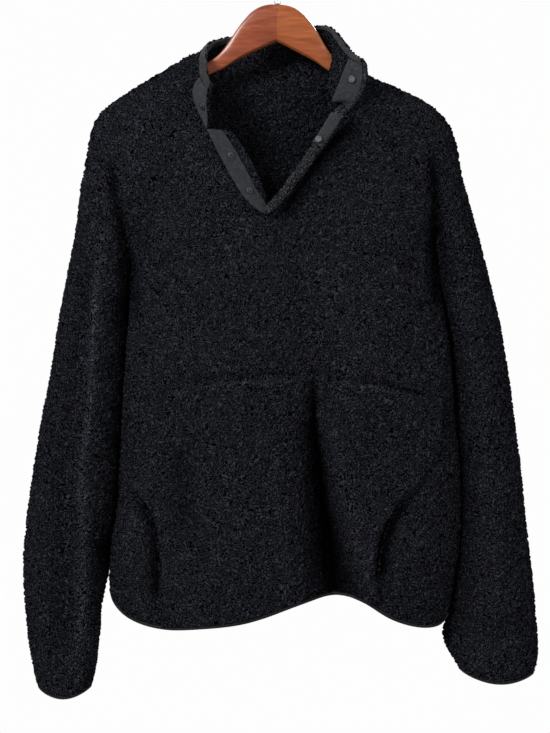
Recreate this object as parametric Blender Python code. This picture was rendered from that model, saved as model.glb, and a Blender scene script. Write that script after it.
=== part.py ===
"""A sherpa fleece pullover with a quarter-length snap placket, hung on a wooden hanger.

The origin is the point inside the hook's bend where a rail carries it. +Z is up, the garment's
front faces -Y and its own right side is at -X. The tables are in millimetres.

The body's front and back are height fields over the X-Z plane: two halves of a hollow tube whose
section is one wide lobe at the chest and parts into sleeve, body and sleeve at the armpits.
"""

import math

import bpy
import numpy as np

for stale in list(bpy.data.objects):
    bpy.data.objects.remove(stale, do_unlink=True)

MM = 0.001
SEAM_GAP = 0.3
FLEECE = 4.5  # the knitted ground with its pile, as thick as the pile reaches
TAPE = 1.1
FRONT, BACK = -1.0, 1.0
LEFT, RIGHT = 0, 1

# ---------------------------------------------------------------- the garment's driving sizes

# Outer edge of the whole garment, from the neck down over the shoulder to the sleeve.
SHOULDER_LEFT = ("z", "x"), (
    (-125, -70), (-143, -114), (-161, -145), (-190, -192), (-204, -210), (-220, -221),
    (-242, -225), (-280, -231), (-315, -237), (-359, -242), (-397, -250),
)
SHOULDER_RIGHT = ("z", "x"), (
    (-120, 60), (-131, 74), (-141, 84), (-157, 98), (-168, 119), (-183, 155), (-196, 179), (-209, 194),
    (-222, 204), (-240, 209), (-284, 217), (-328, 228), (-371, 240), (-400, 248),
)
# The line between body and sleeve, which is the side seam from the armpit down.
SIDE_LEFT = ("z", "x"), (
    (-200, -186), (-309, -178), (-372, -175), (-427, -176), (-486, -181), (-575, -187),
    (-663, -190), (-710, -198), (-752, -203), (-786, -197), (-820, -190),
)
SIDE_RIGHT = ("z", "x"), (
    (-200, 176), (-303, 181), (-368, 185), (-427, 193), (-486, 203), (-575, 208),
    (-634, 215), (-693, 215), (-752, 208), (-793, 202), (-820, 196),
)
ARMPIT_Z = (-372.0, -368.0)
ARMHOLE_TOP_Z = (-297.0, -297.0)
FORK_RISE = 150.0  # height over the armpit in which the sleeve's lobe melts into the chest

BODY_DEPTH = ("z", "front", "back"), (
    (-120, 12, 12), (-144, 20, 19), (-165, 29, 28), (-190, 38, 35), (-230, 49, 42),
    (-300, 57, 47), (-370, 59, 46), (-500, 58, 42), (-620, 56, 40), (-820, 57, 42),
)
BODY_SQUARENESS = 3.0
SLEEVE_LOBE_DEPTH = 35.0

NECK_LEFT = (-114.0, -143.0)
NECK_RIGHT = (74.0, -131.0)
NECK_BACK = (-6.0, -182.0)
PLACKET_TOP_LEFT = (-85.0, -231.0)
PLACKET_TOP_RIGHT = (80.0, -208.0)
PLACKET_TIP = (-12.0, -333.0)
CENTRE_AT_YOKE = (-6.0, -512.0)
CENTRE_AT_HEM = (4.0, -786.0)

# The seam across the front, where the pocket panel begins.
YOKE_SEAM = ("x", "z"), (
    (-190, -546), (-131, -533), (-67, -522), (-6, -512), (61, -517), (122, -526), (205, -543),
)
HEM_FRONT = ("x", "z"), (
    (-202, -768), (-195, -784), (-182, -797), (-157, -806), (-124, -809), (-92, -807),
    (-48, -802), (-17, -794), (4, -786), (33, -776), (56, -771), (79, -770), (94, -774),
    (114, -784), (130, -796), (149, -804), (168, -809), (184, -810), (195, -806), (202, -796),
)
HEM_BACK = ("x", "z"), (
    (-202, -768), (-197, -774), (-185, -780), (-120, -785), (0, -776), (110, -774), (180, -789),
    (202, -796),
)

FOLD_TOP_X, FOLD_FOOT_X = 30.0, 66.0  # the deep fold that runs from the yoke seam to the hem
# Soft troughs (positive) and ridges (negative) pressed into a side of the body.
BODY_FOLDS = (
    "side", "top", "foot", "depth_top", "depth_foot", "width_top", "width_foot", "lopsided"), (
    (FRONT, (FOLD_TOP_X, -528), (FOLD_FOOT_X, -790), 3, 42, 20, 21, 0.8),
    (FRONT, (64, -560), (112, -800), -2, -12, 16, 20, 1.0),
    (FRONT, (-8, -500), (24, -640), 5, 13, 42, 34, 1.2),
    (FRONT, (-111, -560), (-112, -730), 3, 9, 26, 22, 1.0),
    (FRONT, (-58, -640), (-64, -800), -1, -7, 30, 34, 1.0),
    (FRONT, (-155, -380), (-120, -300), 7, 1, 12, 16, 1.0),
    (FRONT, (160, -385), (128, -300), 8, 1, 12, 16, 1.0),
    (FRONT, (-60, -350), (-20, -480), 2, 4, 34, 40, 1.0),
    (FRONT, (95, -300), (70, -470), 2, 5, 30, 36, 1.0),
    (BACK, (-92, -330), (-74, -790), 4, 13, 30, 26, 1.2),
    (BACK, (34, -260), (18, -780), 2, 10, 34, 30, 0.8),
    (BACK, (118, -350), (132, -790), 4, 12, 26, 24, 1.1),
    (BACK, (-150, -390), (-112, -300), 6, 1, 14, 18, 1.0),
    (BACK, (158, -390), (122, -300), 6, 1, 14, 18, 1.0),
)

# Each sleeve from the armhole down: outer and inner edge, half-depth, middle depth, and where
# across its front (0 outer, 1 inner) the lengthwise ridge runs.
SLEEVE_LEFT = (
    "outer_x", "outer_z", "inner_x", "inner_z", "half_depth", "middle_y", "ridge"), (
    (-234, -297, -176, -372, 35, 0, 0.50),
    (-243, -362, -177, -398, 36, 0, 0.45),
    (-257, -427, -179, -448, 38, 1, 0.42),
    (-269, -503, -184, -515, 40, 3, 0.45),
    (-283, -572, -189, -580, 41, 5, 0.48),
    (-294, -639, -192, -645, 40, 6, 0.52),
    (-302, -699, -200, -705, 38, 7, 0.56),
    (-304, -744, -205, -752, 37, 7, 0.60),
    (-302, -785, -208, -795, 36, 6, 0.60),
    (-297, -836, -211, -842, 35, 5, 0.55),
    (-286, -880, -219, -880, 33, 4, 0.50),
)
SLEEVE_RIGHT = SLEEVE_LEFT[0], (
    (221, -297, 186, -368, 35, 0, 0.50),
    (241, -371, 192, -405, 36, 2, 0.50),
    (255, -427, 199, -450, 38, 5, 0.52),
    (264, -465, 205, -490, 39, 7, 0.55),
    (275, -535, 212, -550, 40, 9, 0.55),
    (285, -610, 218, -622, 40, 11, 0.52),
    (291, -668, 219, -680, 39, 12, 0.50),
    (298, -730, 214, -742, 38, 12, 0.48),
    (304, -781, 209, -790, 37, 10, 0.45),
    (308, -838, 199, -826, 35, 8, 0.45),
    (303, -864, 212, -862, 33, 6, 0.50),
)
CUFF_SAG = 12.0  # how far the cuff's front edge hangs below its sides
# Creases pressed into a sleeve: start and end along it (0 armhole, 1 cuff) and round it
# (0 outer edge, 0.25 front, 0.5 inner edge, 0.75 back), deepest point and half-width.
SLEEVE_FOLDS = ("sleeve", "along_0", "round_0", "along_1", "round_1", "depth", "width"), (
    (LEFT, 0.06, 0.40, 0.20, 0.16, 5.0, 9.0),
    (LEFT, 0.14, 0.45, 0.34, 0.30, 4.0, 12.0),
    (LEFT, 0.30, 0.10, 0.92, 0.12, 4.0, 16.0),
    (LEFT, 0.80, 0.42, 0.88, 0.14, 3.5, 9.0),
    (LEFT, 0.20, 0.80, 0.80, 0.72, 5.0, 16.0),
    (LEFT, 0.10, 0.62, 0.30, 0.86, 4.0, 12.0),
    (RIGHT, 0.02, 0.44, 0.16, 0.20, 6.0, 9.0),
    (RIGHT, 0.18, 0.46, 0.52, 0.32, 5.0, 13.0),
    (RIGHT, 0.70, 0.14, 0.78, 0.38, 3.5, 8.0),
    (RIGHT, 0.84, 0.12, 0.90, 0.40, 4.5, 8.0),
    (RIGHT, 0.20, 0.84, 0.85, 0.74, 5.0, 16.0),
    (RIGHT, 0.08, 0.60, 0.30, 0.84, 4.0, 12.0),
)

# The pocket panel: its upper corners at the sides, and the curved hand openings below them.
POCKET_GAP = 0.4
POCKET_SINK = FLEECE + POCKET_GAP  # the front lies this much deeper behind the pocket
YOKE_STEP = 2.8  # height of the step into the sunk part
POCKET_EDGE = (
    ("x", "z"),
    ((-176, -548), (-177, -596), (-175, -636), (-168, -653), (-153, -671), (-145, -690),
     (-139, -718), (-138, -750), (-135, -807)),
    ((192, -541), (188, -590), (174, -630), (152, -650), (136, -671), (124, -690),
     (117, -718), (113, -746), (110, -781)),
)
POCKET_GAPE = ("row", "depth"), ((0, 0), (2, 0.5), (4, 3.0), (6, 3.2), (7, 1.5), (8, 0))

# The stand collar, from the garment's right front end round the back to its left front end:
# its top edge, and how far the band bows from the straight line between seam and top.
COLLAR = (
    "along", "top_x", "top_y", "top_z", "bow_x", "bow_y", "bow_z"), (
    (0.00, -80, -64, -181, -8, -8, 0),
    (0.08, -85, -52, -164, -24, -4, 0),
    (0.17, -87, -32, -146, -15, 0, 0),
    (0.27, -88, -6, -131, -5, 4, -5),
    (0.36, -82, 20, -121, -5, 9, -2),
    (0.46, -62, 41, -114, -2, 10, 0),
    (0.56, -32, 49, -111, 0, 10, 0),
    (0.65, 0, 50, -108, 0, 10, 0),
    (0.73, 30, 46, -104, 0, 10, 0),
    (0.81, 53, 30, -100, 4, 8, 0),
    (0.87, 66, 8, -108, 4, 4, 0),
    (0.92, 76, -18, -126, -3, -4, 0),
    (0.96, 86, -38, -142, 0, -8, 0),
    (1.00, 98, -54, -151, 12, -6, 0),
)
COLLAR_STEPS = (0, 0.2, 0.4, 0.6, 0.78, 0.91, 1.0)  # the last strip is the binding's
COLLAR_SKIN = 4.0

# The button-side placket: its free edge, and how far that lies behind the sewn edge.
UNDERLAP = ("along", "free_x", "free_z", "deeper"), (
    (0.00, -58, -232, 9), (0.15, -50, -240, 12), (0.35, -38, -259, 14),
    (0.60, -25, -284, 14), (0.80, -18, -302, 14), (1.00, -14, -314, 15),
)
UNDERLAP_SKIN = 3.6
# The placket that laps over it: a folded band, rolled outward.
OVERLAP = ("along", "width", "thick", "proud"), (
    (0.00, 13, 8.0, 5.0), (0.15, 15, 10.0, 6.5), (0.30, 13.5, 11.0, 8.0), (0.60, 12.5, 11.0, 8.0),
    (0.85, 12.5, 11.0, 8.5), (1.00, 11, 10.0, 8.0),
)

# Turned snap parts as (radius, height) from the tape they are set in.
STUD_PROFILE = ((4.6, 0.0), (4.6, 0.9), (3.6, 1.4), (2.1, 1.4), (2.1, 2.6), (1.5, 3.1))
SOCKET_PROFILE = ((4.6, 0.0), (4.6, 1.2), (3.8, 1.8), (2.4, 1.8), (1.9, 1.1))
SNAP_SEAT = 0.35

# ---------------------------------------------------------------- the hanger's driving sizes

HANGER_TILT = math.radians(1.3)  # it hangs with the garment's right shoulder a little higher
ARM = ("out", "top", "bottom", "half_thick"), (
    (0, -78, -122.5, 6.4), (10, -78.8, -127.5, 6.4), (20, -81.5, -132.5, 6.4),
    (31, -88.6, -138, 6.4), (41, -99.5, -143, 6.4), (47, -108, -146.5, 6.4),
    (53, -118, -151, 6.2), (60, -129.5, -155.8, 5.4), (73, -144, -161.5, 5.4),
    (84, -150, -167, 5.8), (95, -159, -174, 5.8), (120, -175, -190, 5.9),
    (150, -188, -203, 5.8), (172, -199, -212.5, 5.6), (184, -206.5, -217, 5.2),
    (190, -211, -218.5, 4.2),
)
ARM_SECTION = 10
HOOK_WIRE = 3.4
HOOK_BEND = 21.5  # radius of the bend's centreline
HOOK_TIP_ANGLE = math.radians(-28)
FERRULE = {"radius": 4.5, "height": 5.0}

# ---------------------------------------------------------------- curves and fields


def table(sized):
    """The columns of a table as arrays, by name."""
    names, rows = sized
    return {name: np.array([row[i] for row in rows], float) for i, name in enumerate(names)}


def smooth(stations, values):
    """A cubic through the stations that never swings past them, as a function."""
    order = np.argsort(stations)
    at, to = np.asarray(stations, float)[order], np.asarray(values, float)[order]
    steps = np.diff(at)
    slopes = np.diff(to) / steps
    tangents = np.concatenate([slopes[:1], np.zeros(len(at) - 2), slopes[-1:]])
    same = slopes[:-1] * slopes[1:] > 0
    inner = 2 * slopes[:-1] * slopes[1:] / np.where(same, slopes[:-1] + slopes[1:], 1.0)
    tangents[1:-1] = np.where(same, inner, 0.0)

    def read(x):
        x = np.clip(x, at[0], at[-1])
        i = np.clip(np.searchsorted(at, x, side="right") - 1, 0, len(steps) - 1)
        t = (x - at[i]) / steps[i]
        return (
            to[i] * (1 + 2 * t) * (1 - t) ** 2
            + tangents[i] * steps[i] * t * (1 - t) ** 2
            + to[i + 1] * t * t * (3 - 2 * t)
            + tangents[i + 1] * steps[i] * t * t * (t - 1)
        )

    return read


def column(sized, by, name):
    read = table(sized)
    return smooth(read[by], read[name])


def ease(t):
    t = np.clip(t, 0, 1)
    return t * t * (3 - 2 * t)


shoulder_x = [column(SHOULDER_LEFT, "z", "x"), column(SHOULDER_RIGHT, "z", "x")]
side_x = [column(SIDE_LEFT, "z", "x"), column(SIDE_RIGHT, "z", "x")]
body_depth = {
    FRONT: column(BODY_DEPTH, "z", "front"),
    BACK: column(BODY_DEPTH, "z", "back"),
}


def lobe(x, left, right, depth, power):
    """Half-depth of a rounded section that stands between two edges."""
    across = np.clip((x - left) / (right - left), 0, 1)
    return depth * np.sqrt(np.clip(1 - np.abs(2 * across - 1) ** power, 0, 1))


def along_line(x, z, start, end):
    """How far along a line (0 to 1) a point lies, and its signed distance to the right of it."""
    dx, dz = end[0] - start[0], end[1] - start[1]
    length = math.hypot(dx, dz)
    along = ((x - start[0]) * dx + (z - start[1]) * dz) / length**2
    return along, ((x - start[0]) * -dz + (z - start[1]) * dx) / length


def folds_at(side, x, z):
    """How far the folds press this side of the body inwards."""
    pressed = np.zeros_like(x)
    for on, top, foot, depth_0, depth_1, width_0, width_1, lopsided in BODY_FOLDS[1]:
        if on != side:
            continue
        t, off = along_line(x, z, top, foot)
        held = np.clip(t, 0, 1)
        width = width_0 + (width_1 - width_0) * held
        width = np.where(off > 0, width * lopsided, width)
        beyond = np.maximum(np.maximum(-t, t - 1), 0) * math.dist(top, foot)
        fall = np.exp(-((off / width) ** 2) - (beyond / 22.0) ** 2)
        pressed += (depth_0 + (depth_1 - depth_0) * held) * fall
    return pressed


def half_depth(side, x, z):
    """How far the outer surface stands from the X-Z plane, on the front or the back."""
    x, z = np.asarray(x, float), np.asarray(z, float)
    joined = [ease((z - ARMPIT_Z[i]) / FORK_RISE) for i in (LEFT, RIGHT)]
    edge = [side_x[i](z) + joined[i] * (shoulder_x[i](z) - side_x[i](z)) for i in (LEFT, RIGHT)]
    body = lobe(x, edge[LEFT], edge[RIGHT], body_depth[side](z), BODY_SQUARENESS)
    total = body**4
    for i, towards in ((LEFT, 1), (RIGHT, -1)):
        ends = shoulder_x[i](z), side_x[i](z) + towards * joined[i] * 60.0
        grown = SLEEVE_LOBE_DEPTH * ease((-195.0 - z) / 120.0)
        arm = lobe(x, min_of(ends), max_of(ends), grown, 2.4)
        total = total + np.where(z > ARMPIT_Z[i] - 1, arm, 0.0) ** 4
    depth = total**0.25
    room = ease(depth / 30.0)
    return depth - folds_at(side, x, z) * room


def min_of(pair):
    return np.minimum(pair[0], pair[1])


def max_of(pair):
    return np.maximum(pair[0], pair[1])


def field_points(side, flat, sink=0.0):
    """Points and outward normals of the body's surface over (x, z), sunk straight inwards."""
    x, z = flat[..., 0], flat[..., 1]
    depth = half_depth(side, x, z)
    h = 0.6
    slope_x = (half_depth(side, x + h, z) - half_depth(side, x - h, z)) / (2 * h)
    slope_z = (half_depth(side, x, z + h) - half_depth(side, x, z - h)) / (2 * h)
    bare = (np.abs(slope_x) + np.abs(slope_z) < 1e-6) & (depth < 1e-6)
    slope_x = np.where(bare, -1e3 * np.sign(x), slope_x)
    normals = unit(np.stack([-slope_x, np.full_like(x, side), -slope_z], axis=-1))
    sunk = sink * ease(depth / 16.0)
    return np.stack([x, side * (depth - sunk), z], axis=-1), normals


def polyline(points, count=240):
    """A smooth curve through (x, z) points by arc length, as a function of 0..1."""
    points = np.asarray(points, float)
    gone = np.concatenate([[0], np.cumsum(np.linalg.norm(np.diff(points, axis=0), axis=1))])
    parts = [smooth(gone / gone[-1], points[:, k]) for k in range(points.shape[1])]
    fine = np.stack([part(np.linspace(0, 1, count)) for part in parts], axis=-1)
    gone = np.concatenate([[0], np.cumsum(np.linalg.norm(np.diff(fine, axis=0), axis=1))])
    gone /= gone[-1]

    def read(t):
        return np.stack([np.interp(t, gone, fine[:, k]) for k in range(fine.shape[1])], axis=-1)

    return read


def spread(count, *peaks):
    """Values from 0 to 1, closer together round each (place, width, gain)."""
    fine = np.linspace(0, 1, 600)
    density = np.ones_like(fine)
    for place, width, gain in peaks:
        density += gain * np.exp(-(((fine - place) / width) ** 2))
    gone = np.concatenate([[0], np.cumsum((density[1:] + density[:-1]) / 2)])
    return np.interp(np.linspace(0, 1, count + 1), gone / gone[-1], fine)


def coons(top, foot, outer, inner, across, down, fade=2.5):
    """A grid of (x, z) between the points of its four edges, row by row from the top."""
    u, v = across[None, :, None], down[:, None, None]
    keep = (1 - v) ** fade
    t, f, o, i = top[None], foot[None], outer[:, None], inner[:, None]
    corners = keep * ((1 - u) * t[:, :1] + u * t[:, -1:])
    corners = corners + (1 - keep) * ((1 - u) * f[:, :1] + u * f[:, -1:])
    return keep * t + (1 - keep) * f + (1 - u) * o + u * i - corners


# ---------------------------------------------------------------- solids from grids


def weld(points, within=0.004):
    keys = np.round(points / within).astype(np.int64)
    _, first, index = np.unique(keys, axis=0, return_index=True, return_inverse=True)
    return first, index.reshape(-1)


def mesh_object(name, points, faces, material):
    mesh = bpy.data.meshes.new(name)
    mesh.from_pydata([tuple(p) for p in np.asarray(points) * MM], [], [list(f) for f in faces])
    mesh.validate()
    mesh.shade_smooth()
    mesh.set_sharp_from_angle(angle=math.radians(50))
    mesh.materials.append(material)
    made = bpy.data.objects.new(name, mesh)
    bpy.context.scene.collection.objects.link(made)
    made.parent = garment
    return made


def volume_of(points, faces):
    total = 0.0
    for face in faces:
        a = points[face[0]]
        for b, c in zip(face[1:-1], face[2:]):
            total += np.dot(a, np.cross(points[b], points[c]))
    return total


def outward(points, faces):
    return faces if volume_of(points, faces) > 0 else [face[::-1] for face in faces]


def wall(name, grids, thickness, material):
    """A closed wall: the grids' outer points and their normals, joined where they meet."""
    points = np.concatenate([grid[0].reshape(-1, 3) for grid in grids])
    normals = np.concatenate([grid[1].reshape(-1, 3) for grid in grids])
    first, index = weld(points)
    summed = np.zeros((len(first), 3))
    np.add.at(summed, index, normals)
    summed /= np.linalg.norm(summed, axis=1, keepdims=True)
    outer = points[first]
    inner = outer - summed * thickness
    faces, start = [], 0
    for grid, _, flip in grids:
        rows, columns = grid.shape[:2]
        ids = index[start : start + rows * columns].reshape(rows, columns)
        start += rows * columns
        for r in range(rows - 1):
            for c in range(columns - 1):
                a, b, c_, d = ids[r, c], ids[r, c + 1], ids[r + 1, c + 1], ids[r + 1, c]
                for face in ([a, b, c_], [a, c_, d]):
                    if len(set(face)) == 3:
                        faces.append(face[::-1] if flip else face)
    return mesh_object(name, *closed(outer, inner, faces), material)


def closed(outer, inner, faces):
    """The outer faces, the same inside out on the inner points, and rims between them."""
    edges = {}
    for face in faces:
        for a, b in zip(face, face[1:] + face[:1]):
            edges[(a, b)] = True
    rims = [(a, b) for a, b in edges if (b, a) not in edges]
    count = len(outer)
    solid = list(faces)
    solid += [[k + count for k in face[::-1]] for face in faces]
    solid += [[b, a, a + count, b + count] for a, b in rims]
    points = np.concatenate([outer, inner])
    return points, outward(points, solid)


def sweep(name, rings, material, loop=False, turned=()):
    """A solid through rings of the same number of points; turned sides split the other way."""
    rings = np.asarray(rings, float)
    count, around = rings.shape[:2]
    faces = []
    for r in range(count if loop else count - 1):
        for c in range(around):
            d = (c + 1) % around
            s = (r + 1) % count
            quad = [r * around + c, r * around + d, s * around + d, s * around + c]
            quad = quad[1:] + quad[:1] if c in turned else quad
            faces += [[quad[0], quad[1], quad[2]], [quad[0], quad[2], quad[3]]]
    if not loop:
        faces.append(list(range(around))[::-1])
        faces.append([(count - 1) * around + c for c in range(around)])
    points = rings.reshape(-1, 3)
    return mesh_object(name, points, outward(points, faces), material)


def section(middle, across, up, half_across, half_up, sides=8, power=2.6):
    """A rounded rectangle's ring about a point, on two unit directions."""
    turns = np.arange(sides) / sides * math.tau + math.pi / sides
    c, s = np.cos(turns), np.sin(turns)
    a = np.sign(c) * np.abs(c) ** (2 / power) * half_across
    b = np.sign(s) * np.abs(s) ** (2 / power) * half_up
    return middle + a[:, None] * across + b[:, None] * up


def unit(v):
    v = np.asarray(v, float)
    return v / np.linalg.norm(v, axis=-1, keepdims=True)


def grid_normals(points, outside):
    """Normals of a grid of points, turned to the side that a reference direction is on."""
    down = np.gradient(points, axis=0)
    along = np.gradient(points, axis=1)
    normals = unit(np.cross(down, along))
    turned = np.sum(normals * outside, axis=-1)
    return normals * np.where(turned.sum() < 0, -1.0, 1.0)


# ---------------------------------------------------------------- materials


def make_material(name, colour, roughness, metallic=0.0, sheen=0.0):
    made = bpy.data.materials.new(name)
    made.use_nodes = True
    shader = made.node_tree.nodes["Principled BSDF"]
    shader.inputs["Base Color"].default_value = (*colour, 1.0)
    shader.inputs["Roughness"].default_value = roughness
    shader.inputs["Metallic"].default_value = metallic
    shader.inputs["Sheen Weight"].default_value = sheen
    made.diffuse_color = (*colour, 1.0)
    return made


SHERPA = make_material("sherpa", (0.014, 0.015, 0.018), 0.95, sheen=0.4)
TWILL = make_material("twill_tape", (0.045, 0.048, 0.053), 0.75)
BINDING = make_material("binding", (0.008, 0.008, 0.010), 0.7)
SNAP_METAL = make_material("snap_metal", (0.10, 0.11, 0.12), 0.35, metallic=1.0)
CHERRY = make_material("varnished_wood", (0.42, 0.13, 0.045), 0.28)
STEEL = make_material("steel", (0.62, 0.62, 0.63), 0.25, metallic=1.0)

garment = bpy.data.objects.new("pullover", None)
bpy.context.scene.collection.objects.link(garment)

# ---------------------------------------------------------------- front and back


def shoulder_line(i):
    """From the armhole's top at the outer edge up to the neck point."""
    neck = (NECK_LEFT, NECK_RIGHT)[i]
    heights = np.linspace(ARMHOLE_TOP_Z[i], neck[1], 60)
    return polyline(np.stack([shoulder_x[i](heights), heights], axis=-1))


def armhole_ends(i):
    top = (float(shoulder_x[i](ARMHOLE_TOP_Z[i])), ARMHOLE_TOP_Z[i])
    return np.array(top), np.array((float(side_x[i](ARMPIT_Z[i])), ARMPIT_Z[i]))


def side_line(i, foot_z):
    """The outer edge by row: the armhole's slant to the armpit, then the side seam."""
    top, pit = armhole_ends(i)
    slant = (1 - np.cos(np.linspace(0, math.pi, ARMPIT_ROW + 1))) / 2
    seam_z = np.linspace(ARMPIT_Z[i], foot_z, len(DOWN_UPPER) - ARMPIT_ROW)[1:]
    seam = np.stack([side_x[i](seam_z), seam_z], axis=-1)
    return np.concatenate([top + (pit - top) * slant[:, None], seam])


def on_curve(sized, x):
    return np.array((x, float(column(sized, "x", "z")(x))))


def between(sized, x_outer, x_inner):
    """A stretch of an x-to-z table, as a function of 0..1 from the outer end."""
    xs = np.linspace(x_outer, x_inner, 60)
    return polyline(np.stack([xs, column(sized, "x", "z")(xs)], axis=-1))


# The body's inner edges by row: neck, then the placket's sewn edge, then the centre line.
NECK_ROW, TIP_ROW, ARMPIT_ROW = 7, 13, 9
NECK_STEPS = np.array((0, 0.20, 0.38, 0.55, 0.70, 0.81, 0.91, 1.0))
FRONT_INNER = (
    (((NECK_LEFT), (-112, -165), (-103, -190), (-93, -213), PLACKET_TOP_LEFT),
     (PLACKET_TOP_LEFT, (-73, -254), (-59, -281), (-44, -307), (-32, -321), PLACKET_TIP)),
    ((NECK_RIGHT, (75, -150), (67, -168), (63, -184), (67, -198), PLACKET_TOP_RIGHT),
     (PLACKET_TOP_RIGHT, (74, -222), (61, -240), (44, -264), (27, -288), (9, -312), PLACKET_TIP)),
)
BACK_INNER = (
    (NECK_LEFT, (-95, -158), (-60, -175), (-30, -181), NECK_BACK),
    (NECK_RIGHT, (56, -160), (30, -174), (10, -181), NECK_BACK),
)

ACROSS = spread(14, (0, 0.06, 2.2))
FOLD_COLUMN = 12  # the column that follows the deep fold beside the centre
ACROSS_VALLEY = np.concatenate([
    0.15 * np.array((0, 0.15, 0.32, 0.52, 0.75)),
    0.15 + 0.57 * (1 - (1 - np.linspace(0, 1, 8)[:-1]) ** 1.6),
    0.72 + 0.28 * np.linspace(0, 1, 7) ** 1.35,
])
DOWN_UPPER = spread(17, (0, 0.05, 2.2))
DOWN_LOWER = np.array((0.0, 0.20, 0.35, 0.43, 0.51, 0.59, 0.70, 0.82, 1.0))
SIDE_COLUMNS = 5  # columns between the side seam and the pocket's edge


def staged(stages):
    """Points by row along stretches, each of which ends at its own row."""
    points, first = [], 0
    for stretch, last in stages:
        steps = NECK_STEPS if first == 0 else np.linspace(0, 1, last - first + 1)
        points.append(polyline(stretch)(steps if first == 0 else steps[1:]))
        first = last
    return np.concatenate(points)


def inner_edge(side, i):
    last = len(DOWN_UPPER) - 1
    if side == FRONT:
        neck, placket = FRONT_INNER[i]
        stages = [(neck, NECK_ROW), (placket, TIP_ROW)]
        stages.append(((PLACKET_TIP, (-9, -420), CENTRE_AT_YOKE), last))
    else:
        stages = [(BACK_INNER[i], NECK_ROW), ((NECK_BACK, (-6, -340), CENTRE_AT_YOKE), last)]
    return staged(stages)


def lower_lines(side, i, across, foot):
    """The part under the yoke: its side seam, pocket edge and centre line, by row."""
    hem = HEM_FRONT if side == FRONT else HEM_BACK
    corner = HEM_FRONT[1][0] if i == LEFT else HEM_FRONT[1][-1]
    step = YOKE_STEP if side == FRONT else 0.0
    top_z = foot[0][1] - step
    seam_z = top_z + (corner[1] - top_z) * DOWN_LOWER
    seam = np.stack([side_x[i](seam_z), seam_z], axis=-1)
    seam[0] = foot[0] - (0, step)
    pocket = np.array(POCKET_EDGE[1 + i], float)
    pocket[0] = foot[SIDE_COLUMNS] - (0, step)
    pocket[-1, 1] = column(hem, "x", "z")(pocket[-1, 0])
    centre = polyline([foot[-1] - (0, step), on_curve(hem, CENTRE_AT_HEM[0])])(DOWN_LOWER)
    guides = [(0, seam), (SIDE_COLUMNS, pocket), (len(across) - 1, centre)]
    if len(across) == len(ACROSS_VALLEY):
        fold = polyline([foot[FOLD_COLUMN] - (0, step), on_curve(hem, FOLD_FOOT_X)])(DOWN_LOWER)
        guides.insert(2, (FOLD_COLUMN, fold))
    parts = []
    for (start, edge_0), (end, edge_1) in zip(guides, guides[1:]):
        columns = (across[start : end + 1] - across[start]) / (across[end] - across[start])
        hem_line = between(hem, edge_0[-1][0], edge_1[-1][0])(columns)
        top = foot[start : end + 1] - (0, step)
        part = coons(top, hem_line, edge_0, edge_1, columns, DOWN_LOWER, 1.0)
        parts.append(part if start == 0 else part[:, 1:])
    return np.concatenate(parts, axis=1)


def halves(side):
    """The flat layout of one side of the body: for each half, its parts over and under the yoke."""
    grids = []
    for i in (LEFT, RIGHT):
        across = ACROSS_VALLEY if (side == FRONT and i == RIGHT) else ACROSS
        yoke = on_curve(YOKE_SEAM, float(side_x[i](-545.0)))
        stops = [(0, yoke[0]), (SIDE_COLUMNS, POCKET_EDGE[1 + i][0][0])]
        if len(across) == len(ACROSS_VALLEY):
            stops.append((FOLD_COLUMN, FOLD_TOP_X))
        stops.append((len(across) - 1, CENTRE_AT_YOKE[0]))
        foot = [np.array([yoke])]
        for (start, x_0), (end, x_1) in zip(stops, stops[1:]):
            columns = (across[start + 1 : end + 1] - across[start]) / (across[end] - across[start])
            foot.append(between(YOKE_SEAM, x_0, x_1)(columns))
        foot = np.concatenate(foot)
        outer, inner = side_line(i, yoke[1]), inner_edge(side, i)
        outer[-1], inner[-1] = foot[0], foot[-1]
        upper = coons(shoulder_line(i)(across), foot, outer, inner, across, DOWN_UPPER)
        grids.append((i, upper, lower_lines(side, i, across, foot)))
    return grids


def flatten_edge(normals, where):
    """At a seam between front and back the rim lies square to the seam's plane."""
    normals[where, 1] = 0.0
    normals[where] = unit(normals[where])


def gape_at(shape):
    """How much further the front falls back behind the pocket's hand openings."""
    rows = column(POCKET_GAPE, "row", "depth")(np.arange(shape[0], dtype=float))
    columns = np.arange(shape[1], dtype=float) - SIDE_COLUMNS
    return rows[:, None] * np.exp(-((columns / 1.6) ** 2))[None, :]


def armhole_away(i):
    """Down the armhole's slant, and square to it towards the sleeve."""
    top, pit = armhole_ends(i)
    run = unit(pit - top)
    away = np.array((run[1], 0, -run[0])) * (1 if i == LEFT else -1)
    return np.array((run[0], 0, run[1])), away


def rim_normals(edge, side, i):
    """Normals of one side's half of the armhole that lie in the armhole's own plane."""
    run, _ = armhole_away(i)
    step = np.gradient(edge, axis=0)
    down, forth = step @ run, step[:, 1]
    normals = unit(-forth[:, None] * side * run + down[:, None] * side * np.array((0, 1.0, 0)))
    normals = normals if normals[len(edge) // 2, 1] * side > 0 else -normals
    normals[0], normals[-1] = -run, run
    return normals


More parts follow.
